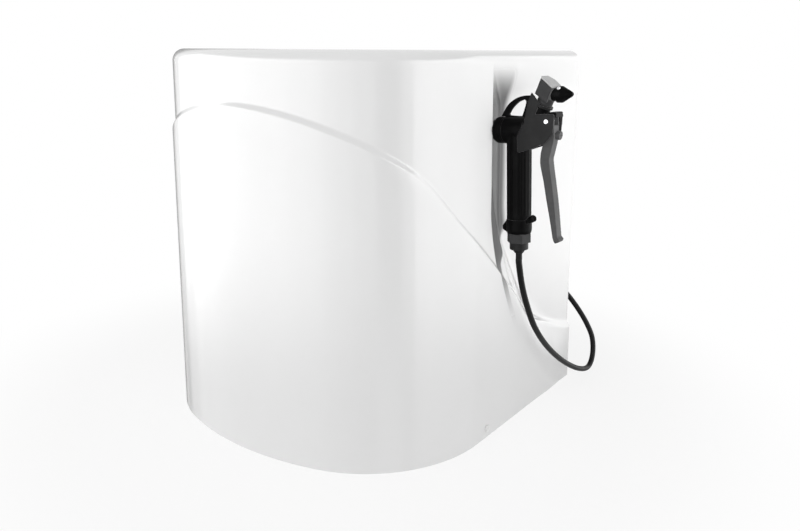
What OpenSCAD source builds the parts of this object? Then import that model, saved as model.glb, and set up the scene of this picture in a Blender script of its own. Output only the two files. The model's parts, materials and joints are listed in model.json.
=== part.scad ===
// Wash station: a moulded D-shaped cover over a tank and pump, with a squeeze
// gun hung on its right side. The front is -Y, the gun side is +X and the
// station stands on z = 0. All sizes are in millimetres.

/* [Cover] */
// Width of the cover at its foot
cover_w = 486; // [440:2:540]
// Depth of the cover, front to back
cover_d = 470; // [430:2:520]
// Height of the cover
cover_h = 500; // [480:2:560]
// Wall of the moulding
wall = 4; // [3:0.5:6]
// Radius of the bowed front
front_r = 389; // [360:1:460]
// Radius of the two front corners
corner_r = 181; // [150:1:200]
// Radius of the rolled top edge
top_r = 16; // [10:1:24]
// Draft of the side walls, degrees
draft = 1.4; // [0:0.1:2]

/* [Wave ledge] */
// How far the lower body stands proud of the upper body
ledge = 4.5; // [2:0.5:8]
// Height over which the ledge blends in
ledge_blend = 10; // [6:1:16]
// Height of the ledge at the middle of the front
wave_top = 438; // [400:1:450]
// Height of the ledge at the back edges
wave_foot = 87; // [60:1:120]

/* [Side pocket] */
// How far the pocket reaches forward from the back edge
pocket_l = 245; // [230:1:258]
// Height where the front edge of the pocket starts to sweep back
pocket_bend = 305; // [290:1:330]
// Height that the outline heads for at the back edge, below the cover's foot
pocket_foot = -35; // [-50:1:-20]
// Depth of the pocket behind its sloped front wall
pocket_depth = 16; // [10:1:20]
// Slope of the front wall, degrees
pocket_slope = 18.5; // [15:0.5:24]
// Height over which the floor sinks in above the outline
pocket_rise = 75; // [50:5:120]
// Plain band between the outline and the floor
pocket_band = 45; // [30:5:60]
// Height over which the pocket fades out under the top
pocket_fade = 60; // [40:5:80]
// How far the rolled lower edge of the pocket stands proud
crest = 1.5; // [0:0.5:3]

/* [Frame] */
// Sheet of the frame
sheet = 2; // [1.5:0.5:3]
// Width of the frame bonded into the open back
lip_w = 14; // [12:1:20]
// Gap that the wall rails keep behind the cover
stand_off = 35; // [30:1:50]
// Width of a wall rail
rail_w = 40; // [30:1:60]
// Length of a wall rail
rail_h = 420; // [380:5:430]
// Distance from the side of the cover to the middle of each rail
rail_inset = 123; // [115:1:150]
// Vertical distance between a rail's wall holes
wall_hole_pitch = 340; // [280:5:370]
// Diameter of a wall hole
wall_hole_d = 8.5; // [6:0.5:10]
// Height of the tray's rim
tray_h = 28; // [24:1:36]

/* [Tank] */
// Width of the tank
tank_w = 270; // [200:5:280]
// Depth of the tank
tank_d = 240; // [180:5:250]
// Height of the tank body
tank_h = 330; // [250:5:360]
// Wall of the tank
tank_wall = 3; // [2:0.5:5]
// Diameter of the filler cap
tank_cap_d = 76; // [60:1:90]

/* [Pump] */
// Diameter of the motor case
motor_d = 72; // [60:1:80]
// Length of the motor case
motor_l = 110; // [90:1:130]
// Height of the pump's middle line
pump_z = 72; // [68:1:90]
// Edge of the square pump head
head_w = 78; // [70:1:90]
// Length of the pump head
head_l = 46; // [40:1:60]
// Outer diameter of the inner tubes
tube_d = 12; // [10:0.5:14]

/* [Gun] */
// Distance of the gun's grip in front of the back edge
gun_from_back = 236; // [230:1:240]
// Height of the gun's valve below the top of the cover
gun_drop = 92; // [85:1:105]
// Reach from the pocket wall to the middle of the grip
gun_reach = 34.75; // [34.5:0.25:40]
// Lean of the hanging gun, degrees
gun_lean = 3; // [0:0.5:5]
// Diameter of the grip
grip_d = 30; // [28:0.5:32]
// Length of the grip below the valve axis
grip_l = 108; // [100:1:116]
// Diameter of the valve housing
housing_d = 32; // [30:0.5:34]
// Width of the gun body across its cheeks
body_t = 20; // [19:0.5:24]
// Thickness of a cheek plate
cheek_t = 2.5; // [1.5:0.5:4]
// Diameter of the valve stem
stem_d = 6; // [5:0.5:7]
// Diameter of the lever's pivot pin
pin_d = 5; // [4:0.5:6]
// Width of the lever
lever_w = 14; // [12:0.5:14]
// Lean of the spray head, degrees
head_lean = 24; // [15:1:35]
// Side of the turret block in the plane of the gun
turret_w = 17.4; // [16:0.2:20]
// Depth of the turret block across the gun
turret_t = 23; // [21:0.5:26]
// Height of the turret block
turret_h = 21.5; // [20:0.5:24]
// Width across the flats of the union nut
union_af = 26; // [24:1:30]
// Diameter of the hose
hose_d = 8; // [7:0.5:9]

/* [Hidden] */
$fn = 48;

fit = 0.05;      // running clearance on a radius
slip = 0.2;      // free clearance on a radius
eps = 0.01;

// ---- plan of the cover: straight sides, two corner arcs and a bowed front ----
half_w = cover_w / 2;
back_y = cover_d / 2;
corner_x = half_w - corner_r;
front_cy = front_r - cover_d / 2;
corner_cy = front_cy - sqrt(pow(front_r - corner_r, 2) - pow(corner_x, 2));
corner_turn = -atan2(corner_cy - front_cy, corner_x);
side_l = back_y - corner_cy;
front_turn = 90 - corner_turn;
front_s = front_r * front_turn * PI / 180;
corner_s = corner_r * corner_turn * PI / 180;
girth = front_s + corner_s + side_l;

side_steps = 9;
corner_steps = 9;
front_steps = 3;
far_steps = 2;

// The side screws pass through square windows in the moulding
side_screw_z = 13;
side_screw_d = 5;
window = side_screw_d + 0.6;
side_screw_t = pocket_l + 9;

// A station on the plan: [middle of its arc, direction, radius, distance from the front]
function side_at(t, s) = [[s * corner_x, back_y - t], s > 0 ? 0 : 180, corner_r, girth - t];
land = wall;
foot_t = pocket_l - pocket_depth / tan(pocket_slope);
front_ts = [pocket_l, side_screw_t - window / 2, side_screw_t + window / 2, side_l];
function side_ts(n) = concat([0, land], [for (k = [1:n]) foot_t * k / n],
    [for (k = [1, 2]) foot_t + (pocket_l - foot_t) * k / 3], front_ts);
function corner_at(k, s) = let (a = corner_turn * k / corner_steps)
    [[s * corner_x, corner_cy], s > 0 ? -a : a - 180, corner_r, girth - side_l - corner_s * k / corner_steps];
function front_at(k, s) = let (a = front_turn * k / front_steps)
    [[0, front_cy], s > 0 ? -corner_turn - a : corner_turn + a - 180, front_r, front_s * (1 - k / front_steps)];
function half_plan(n, s) = concat(
    [for (t = side_ts(n)) side_at(t, s)],
    [for (k = [1:corner_steps]) corner_at(k, s)],
    [for (k = [1:front_steps]) front_at(k, s)]);
right_plan = half_plan(side_steps, 1);
left_plan = half_plan(far_steps, -1);
plan = concat(right_plan, [for (k = [len(left_plan) - 2:-1:0]) left_plan[k]]);
function plan_point(p, inset) = p[0] + (p[2] - inset) * [cos(p[1]), sin(p[1])];

// ---- height of the wave ledge, as shares of its fall from front to back ----
wave_shape = [1, 0.985, 0.945, 0.88, 0.78, 0.61, 0.46, 0.295, 0.145, 0.06, 0];
function clamp01(v) = max(0, min(1, v));
function smooth(v) = let (c = clamp01(v)) c * c * (3 - 2 * c);
function knot(k) = wave_shape[max(0, min(len(wave_shape) - 1, k))];
function wave_share(u) = let (q = u * (len(wave_shape) - 1), k = floor(q), f = q - k,
    a = k == 0 ? knot(1) : knot(k - 1), b = knot(k), c = knot(k + 1), d = knot(k + 2))
    b + f * (c - a + f * (2 * a - 5 * b + 4 * c - d + f * (3 * (b - c) + d - a))) / 2;
function wave_z(s) = wave_foot + (wave_top - wave_foot) * wave_share(min(1, s / girth));

// ---- depth of the side pocket, t in from the back edge and z up ----
pocket_p = 1.5;
pocket_fall = pocket_bend - pocket_foot;
function edge_z(t) = pocket_bend - pocket_fall * pow(1 - pow(clamp01(t / pocket_l), pocket_p), 1 / pocket_p);
function edge_t(z) = pocket_l * pow(1 - pow(clamp01((pocket_bend - z) / pocket_fall), pocket_p), 1 / pocket_p);
function floor_from(t) = max(tray_h + 4, edge_z(t) + pocket_band);
function pocket_floor(t, z) = pocket_depth * (t - land) / (foot_t - land)
    * smooth((z - floor_from(t)) / pocket_rise) * smooth((cover_h - top_r - z) / pocket_fade);
function pocket_wall(t, z) = tan(pocket_slope) * (edge_t(z) - t);
crest_l = 215;
crest_below = 45;
crest_above = 25;
function crest_at(t, z) = let (h = z - edge_z(t))
    crest * clamp01(1 - t / crest_l) * clamp01(1 - abs(h) / (h < 0 ? crest_below : crest_above));
function pocket(p, z) = p[1] != 0 ? 0 : let (t = back_y - p[0][1])
    t > pocket_l ? 0 : max(0, min(pocket_wall(t, z), pocket_floor(t, z))) - crest_at(t, z);

// ---- inset of the outer skin from the plan at its foot ----
function ledge_in(p, z) = ledge * smooth((z - wave_z(p[3])) / ledge_blend + 0.5);
function skin_in(p, z) = z * tan(draft) + ledge_in(p, z) + pocket(p, z);

low_rows = 7;
blend_rows = 2;
high_rows = 10;
roll_rows = 4;
shoulder = cover_h - top_r;
function low_z(p, k) = let (z0 = side_screw_z + window / 2)
    k == 0 ? 0 : k == 1 ? z0 - window : z0 + (wave_z(p[3]) - ledge_blend / 2 - z0) * (k - 2) / (low_rows - 2);
function blend_z(p, k) = wave_z(p[3]) + ledge_blend * (k / blend_rows - 0.5);
function high_z(p, k) = let (z0 = wave_z(p[3]) + ledge_blend / 2) z0 + (shoulder - z0) * k / high_rows;
function rows(p) = concat(
    [for (k = [0:low_rows]) low_z(p, k)],
    [for (k = [1:blend_rows]) blend_z(p, k)],
    [for (k = [1:high_rows]) high_z(p, k)]);
function column(p, w) = let (top_in = skin_in(p, shoulder) + w, r = max(1, top_r - w)) concat(
    [for (z = rows(p)) let (q = plan_point(p, skin_in(p, z) + w)) [q[0], q[1], z]],
    [for (k = [1:roll_rows]) let (a = 90 * k / roll_rows, q = plan_point(p, top_in + r * (1 - cos(a))))
        [q[0], q[1], shoulder + r * sin(a)]]);
col_n = low_rows + blend_rows + high_rows + roll_rows + 1;

// The skin and its lining as one closed mesh; column i of the skin starts at i * col_n
module shell() {
    n = len(plan);
    points = concat([for (w = [0, wall]) for (p = plan) each column(p, w)],
        [[0, 0, cover_h], [0, 0, cover_h - wall]]);
    inner = n * col_n;
    last = inner - col_n;
    r = col_n - 1;
    gaps = [for (i = [0:n - 2]) if (abs(plan[i][3] - plan[i + 1][3]) < window + eps && abs(plan[i][3] -
        plan[i + 1][3]) > window - eps && abs(girth - (plan[i][3] + plan[i + 1][3]) / 2 - side_screw_t) < eps) i];
    walls = [for (i = [0:n - 2]) for (j = [0:r - 1]) if (j != 1 || len(search(i, gaps)) == 0)
        let (a = i * col_n + j, b = a + col_n) each [
            [a, b, b + 1], [a, b + 1, a + 1],
            [inner + a, inner + b + 1, inner + b], [inner + a, inner + a + 1, inner + b + 1]]];
    holes = [for (i = gaps) let (a = i * col_n + 1, b = a + col_n, loop = [a, b, b + 1, a + 1])
        for (k = [0:3]) let (p = loop[k], q = loop[(k + 1) % 4])
            each [[p, q, inner + q], [p, inner + q, inner + p]]];
    feet = [for (i = [0:n - 2]) let (a = i * col_n, b = a + col_n) [b, a, inner + a, inner + b]];
    rims = [for (j = [0:r - 1]) each [
        [j, j + 1, inner + j + 1], [j, inner + j + 1, inner + j],
        [last + j + 1, last + j, inner + last + j], [last + j + 1, inner + last + j, inner + last + j + 1]]];
    tops = [for (i = [0:n - 1]) let (a = i * col_n + r, b = (i + 1) % n * col_n + r)
        each [[a, b, 2 * inner], [inner + b, inner + a, 2 * inner + 1]]];
    brow = [[r, last + r, inner + last + r, inner + r]];
    polyhedron(points, concat(walls, holes, feet, rims, tops, brow), convexity = 6);
}

// ---- the frame bonded into the open back, and what screws to it ----
function back_in(z) = z * tan(draft) + ledge * smooth((z - wave_foot) / ledge_blend + 0.5);
function mirrored(pts) = concat(pts, [for (k = [len(pts) - 1:-1:0]) [-pts[k][0], pts[k][1]]]);

module upright(y0, t) {
    translate([0, y0 + t, 0]) rotate([90, 0, 0]) linear_extrude(t) children();
}

bond = 0.2;
lip_zs = [0, wave_foot - ledge_blend / 2, wave_foot, wave_foot + ledge_blend / 2, shoulder];
function lip_side(w) = concat(
    [for (z = lip_zs) [half_w - back_in(z) - w, z]],
    [for (k = [1:roll_rows]) let (a = 90 * k / roll_rows, r = top_r - wall - bond)
        [half_w - back_in(shoulder) - w - r * (1 - cos(a)), shoulder + r * sin(a)]]);
lip_top = cover_h - wall - lip_w;
cover_screw_zs = [45, 250, 440];
cover_screw_d = 4;
function cover_screw_x(z) = half_w - back_in(z) - wall - lip_w / 2;
module at_cover_screws() {
    for (s = [-1, 1]) for (z = cover_screw_zs)
        translate([s * cover_screw_x(z), back_y, z]) rotate([-90, 0, 0]) children();
}

side_screw_y = back_y - side_screw_t;
side_screw_x = half_w - side_screw_z * tan(draft);
module at_side_screws() {
    for (s = [0, 1]) mirror([s, 0, 0])
        translate([side_screw_x, side_screw_y, side_screw_z]) rotate([0, 90, 0]) children();
}

// ---- gun frame: x out of the pocket, z up the grip ----
gun_z = cover_h - gun_drop;
gun_y = back_y - gun_from_back;
gun_wall_x = half_w - gun_z * tan(draft) - ledge - tan(pocket_slope) * (pocket_l - gun_from_back);
gun_x = gun_wall_x + gun_reach;
module at_gun() {
    translate([gun_x, gun_y, gun_z]) rotate([0, -gun_lean, 0]) children();
}
module along_x(x0, x1, d1, d2 = 0) {
    translate([x0, 0, 0]) rotate([0, 90, 0]) cylinder(h = x1 - x0, d1 = d1, d2 = d2 == 0 ? d1 : d2);
}

housing_r = housing_d / 2;
cap_l = 14;
housing_back = -17;
cap_back = housing_back - cap_l;
peg_d = 10;
peg_l = 9;
seat_gap = 1.2;
holder_t = 2.5;
holder_d = 24;
seat_x = cap_back - seat_gap - holder_t;
wall_tilt = atan(tan(draft) * cos(pocket_slope));

module cover() {
    color("white") shell();
}

module cover_frame() {
    color("white") difference() {
        upright(back_y - wall, wall) difference() {
            polygon(mirrored(lip_side(wall + bond)));
            polygon(mirrored([[half_w - ledge - wall - lip_w, -1],
                [half_w - back_in(shoulder) - wall - lip_w, lip_top]]));
        }
        at_cover_screws() translate([0, 0, -wall - 1]) cylinder(d = cover_screw_d + 2 * slip, h = wall + 2);
    }
}

// ---- frame ----
plate_y = back_y - wall - sheet;
plate_gap = 1.5;
plate_z0 = sheet;
plate_side = [
    [half_w - ledge - wall - plate_gap, plate_z0],
    [half_w - back_in(shoulder) - wall - plate_gap, shoulder - top_r],
    [half_w - back_in(shoulder) - wall - plate_gap - top_r, cover_h - wall - plate_gap]];
foot_flange = 24;
rail_foot = 12;
foot_w = cover_w - 106;
rail_pitch = cover_w - 2 * rail_inset;
outlet_x = rail_pitch / 2 + rail_w / 2 + rail_foot + 13;
outlet_z = 180;
outlet_hole_d = 16;
inlet_x = -rail_pitch / 2 - rail_w / 2 - rail_foot - 30;
inlet_z = 120;
inlet_w = 28;
inlet_h = 22;
inlet_rim = 11;

rail_inner = rail_w / 2 - sheet;
rail_z0 = (cover_h - rail_h) / 2;
wall_y = back_y + stand_off;
rail_screw_zs = [rail_z0 + 30, rail_z0 + rail_h / 2, rail_z0 + rail_h - 30];
frame_screw_d = 5;
tray_screw_xs = [30 - foot_w / 2, 0, foot_w / 2 - 30];
tray_screw_y = plate_y - foot_flange / 2;

module at_rail_screws() {
    for (s = [-1, 1]) for (e = [-1, 1]) for (z = rail_screw_zs)
        translate([s * rail_pitch / 2 + e * (rail_w + rail_foot) / 2, plate_y, z])
            rotate([-90, 0, 0]) children();
}
module at_tray_screws() {
    for (x = tray_screw_xs) translate([x, tray_screw_y, sheet]) children();
}

module back_plate() {
    color("lightgray") difference() {
        union() {
            upright(plate_y, sheet) polygon(mirrored(plate_side));
            translate([-foot_w / 2, plate_y - foot_flange, plate_z0]) cube([foot_w, foot_flange, sheet]);
        }
        at_rail_screws() translate([0, 0, -1]) cylinder(d = frame_screw_d + 2 * fit, h = sheet + 2);
        at_tray_screws() translate([0, 0, -1]) cylinder(d = frame_screw_d + 2 * fit, h = sheet + 2);
        at_cover_screws() translate([0, 0, -wall - sheet - 1])
            cylinder(d = cover_screw_d + 2 * fit, h = sheet + 2);
        translate([outlet_x, plate_y - 1, outlet_z]) rotate([-90, 0, 0])
            cylinder(d = outlet_hole_d + 2 * slip, h = sheet + 2);
        translate([inlet_x - inlet_w / 2 - slip, plate_y - 1, inlet_z - inlet_h / 2 - slip])
            cube([inlet_w + 2 * slip, sheet + 2, inlet_h + 2 * slip]);
    }
}

module wall_rails() {
    rail_d = stand_off + wall;
    color("silver") for (s = [-1, 1]) translate([s * rail_pitch / 2, 0, 0]) difference() {
        union() {
            translate([-rail_w / 2, plate_y + sheet, rail_z0]) cube([rail_w, rail_d, rail_h]);
            translate([-rail_w / 2 - rail_foot, plate_y + sheet, rail_z0])
                cube([rail_w + 2 * rail_foot, sheet, rail_h]);
        }
        translate([-rail_inner, plate_y, rail_z0 - 1]) cube([2 * rail_inner, rail_d, rail_h + 2]);
        for (e = [-1, 1]) translate([0, wall_y + 1, cover_h / 2 + e * wall_hole_pitch / 2])
            rotate([90, 0, 0]) cylinder(d = wall_hole_d, h = sheet + 3);
        for (e = [-1, 1]) for (z = rail_screw_zs)
            translate([e * (rail_w / 2 + rail_foot / 2), plate_y, z]) rotate([-90, 0, 0])
                cylinder(d = frame_screw_d + 2 * fit, h = 3 * sheet);
    }
}

tray_gap = 0.5;
tray_in = wall + tray_h * tan(draft) + tray_gap;
tray_back = plate_y + sheet - tray_gap;
module tray_outline(inset) {
    polygon(concat(
        [[half_w - inset, tray_back]],
        [for (p = plan) if (p[1] != 0 && p[1] != 180) plan_point(p, inset)],
        [[-half_w + inset, tray_back]]));
}
boss_w = 12;
module base_tray() {
    color("lightgray") difference() {
        union() {
            linear_extrude(sheet) tray_outline(tray_in);
            linear_extrude(tray_h) difference() {
                tray_outline(tray_in);
                tray_outline(tray_in + sheet);
                translate([-half_w, plate_y - foot_flange]) square([cover_w, 2 * foot_flange]);
            }
            at_side_screws() translate([0, 0, -tray_in - boss_w + 1])
                cylinder(d = 2.2 * side_screw_d, h = boss_w);
        }
        at_side_screws() translate([0, 0, -tray_in - boss_w])
            cylinder(d = side_screw_d + 2 * fit, h = tray_in + boss_w);
        at_tray_screws() translate([0, 0, -sheet - 1]) cylinder(d = frame_screw_d + 2 * fit, h = sheet + 2);
    }
}

// A pan-headed screw along z, its head above z = 0
module screw(d, l, head_d, head_h) {
    cylinder(d = head_d, h = head_h);
    translate([0, 0, -l]) cylinder(d = d, h = l + eps);
}
module side_screws() {
    color("white") at_side_screws() translate([0, 0, 0.1]) screw(side_screw_d, 16, 9, 2.5);
}
module cover_screws() {
    color("silver") at_cover_screws() screw(cover_screw_d, 12, 8, 2.5);
}
module frame_screws() {
    color("silver") {
        at_rail_screws() rotate([180, 0, 0]) screw(frame_screw_d, 8, 10, 3);
        at_tray_screws() translate([0, 0, sheet]) screw(frame_screw_d, 4, 10, 3);
    }
}

// ---- tank ----
tank_gap = 0.5;
bracket_foot = 16;
bracket_x = 70;
tank_y = tank_d - cover_d / 2 + 40;
tank_z = sheet + tank_gap;
tank_round = 30;
tank_top = tank_z + tank_h;
neck_h = 16;
neck_d = tank_cap_d - 8;
cap_y = tank_y - tank_d / 2;
barb_d = 8;
tank_out = [40, 30];
module tank_outline(r) {
    hull() for (x = [-1, 1]) for (y = [0, 1])
        translate([x * (tank_w / 2 - r), tank_y - r - y * (tank_d - 2 * r)]) circle(r);
}
module tank() {
    color("gainsboro") difference() {
        union() {
            translate([0, 0, tank_z]) linear_extrude(tank_h) tank_outline(tank_round);
            translate([0, cap_y, tank_top - eps]) cylinder(d = neck_d, h = neck_h);
            translate([tank_out[0], tank_y - 1, tank_out[1]]) rotate([-90, 0, 0]) cylinder(d = 14, h = 9);
            translate([tank_out[0], tank_y, tank_out[1]]) rotate([-90, 0, 0]) cylinder(d = barb_d, h = 20);
        }
        translate([-tank_w / 2 + tank_round, cap_y - tank_d / 2 + tank_round, tank_z + tank_wall])
            cube([tank_w - 2 * tank_round, tank_d - 2 * tank_round, tank_h - 2 * tank_wall]);
        translate([0, cap_y, tank_top - 2 * tank_wall])
            cylinder(d = neck_d - 2 * tank_wall, h = neck_h + 3 * tank_wall);
        translate([tank_out[0], tank_y - tank_round - 5, tank_out[1]])
            rotate([-90, 0, 0]) cylinder(d = 5, h = 60);
    }
}
module tank_cap() {
    color("dimgray") translate([0, cap_y, tank_top + 1]) difference() {
        union() {
            cylinder(d = tank_cap_d, h = neck_h + 3);
            for (k = [0:23]) rotate(k * 15) translate([tank_cap_d / 2, 0, 0])
                cylinder(d = 2, h = neck_h + 1, $fn = 16);
        }
        translate([0, 0, -1]) cylinder(d = neck_d + 2 * slip, h = neck_h + 0.5);
    }
}
module tank_brackets() {
    color("silver") for (x = [-bracket_x, bracket_x]) for (s = [0, 1])
        translate([x - 15, s == 0 ? tank_y + tank_gap : tank_y - tank_d - tank_gap - sheet, sheet]) {
            cube([30, sheet, 40]);
            translate([0, s == 0 ? 0 : -bracket_foot, 0]) cube([30, bracket_foot + sheet, sheet]);
        }
}

// ---- suction filter ----
filter_x = 70;
filter_y = tank_y + 105;
filter_z = 150;
filter_d = 52;
bowl_h = 80;
module filter_head() {
    color("dimgray") translate([filter_x, filter_y, filter_z]) difference() {
        union() {
            cylinder(d = filter_d + 8, h = 26);
            along_barbs(38);
            translate([-12, 20, 8]) cube([24, 20, 16]);
        }
        translate([0, 0, -1]) cylinder(d = filter_d - 6 + 2 * slip, h = 12);
        translate([0, 0, 16]) rotate([0, 90, 0]) cylinder(d = 5, h = 90, center = true);
    }
}
module along_barbs(l) {
    translate([0, 0, 16]) rotate([0, 90, 0]) cylinder(d = barb_d, h = 2 * l, center = true);
}
module filter_bowl() {
    color("lightblue") translate([filter_x, filter_y, filter_z - bowl_h]) difference() {
        union() {
            cylinder(d = filter_d, h = bowl_h);
            translate([0, 0, bowl_h - eps]) cylinder(d = filter_d - 6, h = 9);
        }
        translate([0, 0, 3]) cylinder(d = filter_d - 12, h = bowl_h + 10);
    }
}
module filter_bracket() {
    color("silver") translate([filter_x, 0, filter_z]) difference() {
        union() {
            translate([-12, filter_y + 40, 8 - sheet]) cube([24, plate_y - filter_y - 40, sheet]);
            translate([-12, plate_y - sheet, 8 - sheet]) cube([24, sheet, 40]);
            translate([-12, filter_y + 30, 8 - sheet]) cube([24, 12, sheet]);
        }
    }
}

// ---- pump: head on the right, motor on the left, both along x ----
pump_y = tank_y + 85;
pump_x = -60;
base_z = sheet + 8;
base_l = motor_l + head_l + 20;
base_w = 90;
shaft_d = 8;
foot_d = 18;
barb_x = head_l / 2;
module at_pump() {
    translate([pump_x, pump_y, pump_z]) children();
}
module pump_base() {
    saddle = pump_z - base_z - motor_d / 2 + 6;
    color("silver") difference() {
        union() {
            translate([pump_x - motor_l - 10, pump_y - base_w / 2, base_z]) cube([base_l, base_w, sheet]);
            for (x = [-motor_l + 15, -30])
                translate([pump_x + x, pump_y - 28, base_z]) cube([12, 56, saddle]);
            translate([pump_x + 2, pump_y - head_w / 2, base_z])
                cube([head_l - 4, head_w, pump_z - base_z - head_w / 2]);
        }
        at_pump() along_x(-motor_l - 20, 10, motor_d);
        at_feet() translate([0, 0, -1]) cylinder(d = 5, h = sheet + 2);
    }
}
module at_feet() {
    for (x = [-motor_l - 2, head_l + 4]) for (y = [-1, 1])
        translate([pump_x + x, pump_y + y * (base_w / 2 - 11), base_z]) children();
}
module pump_feet() {
    color("black") at_feet() {
        translate([0, 0, sheet - base_z]) cylinder(d = foot_d, h = base_z - sheet);
        cylinder(d = 5 - 2 * fit, h = sheet + 2);
        translate([0, 0, sheet]) cylinder(d = 9, h = 3);
    }
}
module motor_case() {
    color("dimgray") at_pump() difference() {
        along_x(-motor_l, 0, motor_d);
        along_x(-motor_l - 1, -motor_l + 20, motor_d - 6);
        along_x(-motor_l + 24, -6, motor_d - 10);
        along_x(-motor_l, 1, shaft_d + 2 * fit);
    }
}
fan_d = motor_d - 12;
module motor_rotor() {
    color("silver") at_pump() union() {
        along_x(-motor_l + 6, 22, shaft_d);
        along_x(-motor_l + 30, -14, motor_d - 24);
        along_x(-motor_l + 6, -motor_l + 14, 20);
        for (k = [0:6]) rotate([k * 360 / 7, 0, 0]) translate([-motor_l + 7, 0, 8])
            rotate([0, 0, 25]) cube([1.5, 8, fan_d / 2 - 8]);
    }
}
module pump_head() {
    color("black") at_pump() difference() {
        union() {
            translate([0, -head_w / 2, -head_w / 2]) cube([head_l, head_w, head_w]);
            for (y = [-1, 1]) translate([barb_x, y * 18, head_w / 2 - 1]) cylinder(d = barb_d, h = 17);
        }
        along_x(-1, 28, 40);
        for (y = [-1, 1]) translate([barb_x, y * 18, 16]) cylinder(d = 5, h = head_w);
        for (y = [-1, 1]) for (z = [-1, 1]) translate([0, y * (head_w / 2 - 8), z * (head_w / 2 - 8)])
            along_x(6, head_l + 1, 4 + 2 * fit);
    }
}
module pump_screws() {
    color("silver") at_pump() for (y = [-1, 1]) for (z = [-1, 1])
        translate([0, y * (head_w / 2 - 8), z * (head_w / 2 - 8)]) {
            along_x(10, head_l + eps, 4);
            along_x(head_l, head_l + 4, 7);
        }
}

// ---- outlet and power inlet in the back plate ----
elbow_d = 14;
elbow_y = back_y + 17;
elbow_l = 20;
elbow_turn = 40;
hex_d = 22;
module outlet_elbow() {
    color("black") translate([outlet_x, 0, outlet_z]) union() {
        translate([0, plate_y - 22, 0]) rotate([-90, 0, 0]) cylinder(d = barb_d, h = 23);
        translate([0, plate_y - 12, 0]) rotate([-90, 0, 0]) cylinder(d = outlet_hole_d, h = 18);
        translate([0, plate_y + sheet, 0]) rotate([-90, 0, 0]) cylinder(d = hex_d, h = 6, $fn = 6);
        translate([0, plate_y + sheet + 5, 0]) rotate([-90, 0, 0])
            cylinder(d = elbow_d, h = elbow_y - plate_y - sheet - 5);
        translate([0, elbow_y, 0]) sphere(d = elbow_d + 2);
        translate([0, elbow_y, 0]) rotate([0, elbow_turn, 0]) along_x(0, elbow_l, elbow_d);
    }
}
module outlet_nut() {
    color("black") translate([outlet_x, plate_y - 6, outlet_z]) rotate([-90, 0, 0]) difference() {
        cylinder(d = 25, h = 6, $fn = 6);
        translate([0, 0, -1]) cylinder(d = outlet_hole_d + 2 * fit, h = 8);
    }
}
module power_inlet() {
    color("black") translate([inlet_x, 0, inlet_z]) {
        difference() {
            union() {
                translate([-inlet_w / 2, plate_y - 24, -inlet_h / 2]) cube([inlet_w, 27, inlet_h]);
                translate([-inlet_w / 2 - inlet_rim, plate_y + sheet, -inlet_h / 2 - 4])
                    cube([inlet_w + 2 * inlet_rim, 3, inlet_h + 8]);
            }
            translate([-inlet_w / 2 + 2, plate_y - 14, -inlet_h / 2 + 3])
                cube([inlet_w - 4, 30, inlet_h - 6]);
        }
        for (x = [-7, 0, 7]) translate([x - 1, plate_y - 15, x == 0 ? 1 : -4]) cube([2, 14, 4]);
    }
}

// ---- lines: each route is a list of points, swept by the functions below ----
function along(pts, k) = let (n = len(pts) - 1, a = pts[max(0, k - 1)], b = pts[min(n, k + 1)])
    (b - a) / norm(b - a);
function spline(pts, per) = [for (k = [0:len(pts) - 2]) for (i = [0:per - 1]) let (
        f = i / per, b = pts[k], c = pts[k + 1],
        a = k == 0 ? 2 * b - c : pts[k - 1], d = k == len(pts) - 2 ? 2 * c - b : pts[k + 2])
    b + f * (c - a + f * (2 * a - 5 * b + 4 * c - d + f * (3 * (b - c) + d - a))) / 2];
function side_of(t, hint) = let (v = hint - (hint * t) * t) v / norm(v);
function frames(pts, k, prev) = k == len(pts) ? [] :
    let (t = along(pts, k), u = side_of(t, prev)) concat([[pts[k], u, cross(t, u)]], frames(pts, k + 1, u));
module tube(route, d, sides = 8, per = 3, hint = [0, 0.1, 1]) {
    pts = concat(spline(route, per), [route[len(route) - 1]]);
    rings = frames(pts, 0, hint);
    n = len(pts);
    points = [for (f = rings) for (s = [0:sides - 1]) let (a = 360 * s / sides)
        f[0] + d / 2 * (cos(a) * f[1] + sin(a) * f[2])];
    walls = [for (i = [0:n - 2]) for (s = [0:sides - 1]) let (
            a = i * sides + s, b = i * sides + (s + 1) % sides)
        each [[a, b + sides, b], [a, a + sides, b + sides]]];
    ends = [[for (s = [0:sides - 1]) s], [for (s = [sides - 1:-1:0]) (n - 1) * sides + s]];
    polyhedron(points, concat(walls, ends), convexity = 8);
}

tank_barb = [tank_out[0], tank_y + 20, tank_out[1]];
filter_in = [filter_x + 38, filter_y, filter_z + 16];
filter_out = [filter_x - 38, filter_y, filter_z + 16];
head_top = pump_z + head_w / 2 + 16;
head_in = [pump_x + barb_x, pump_y + 18, head_top];
head_out = [pump_x + barb_x, pump_y - 18, head_top];
elbow_in = [outlet_x, plate_y - 22, outlet_z];
line_z = filter_z + 16;
head_x = pump_x + barb_x;
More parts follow.
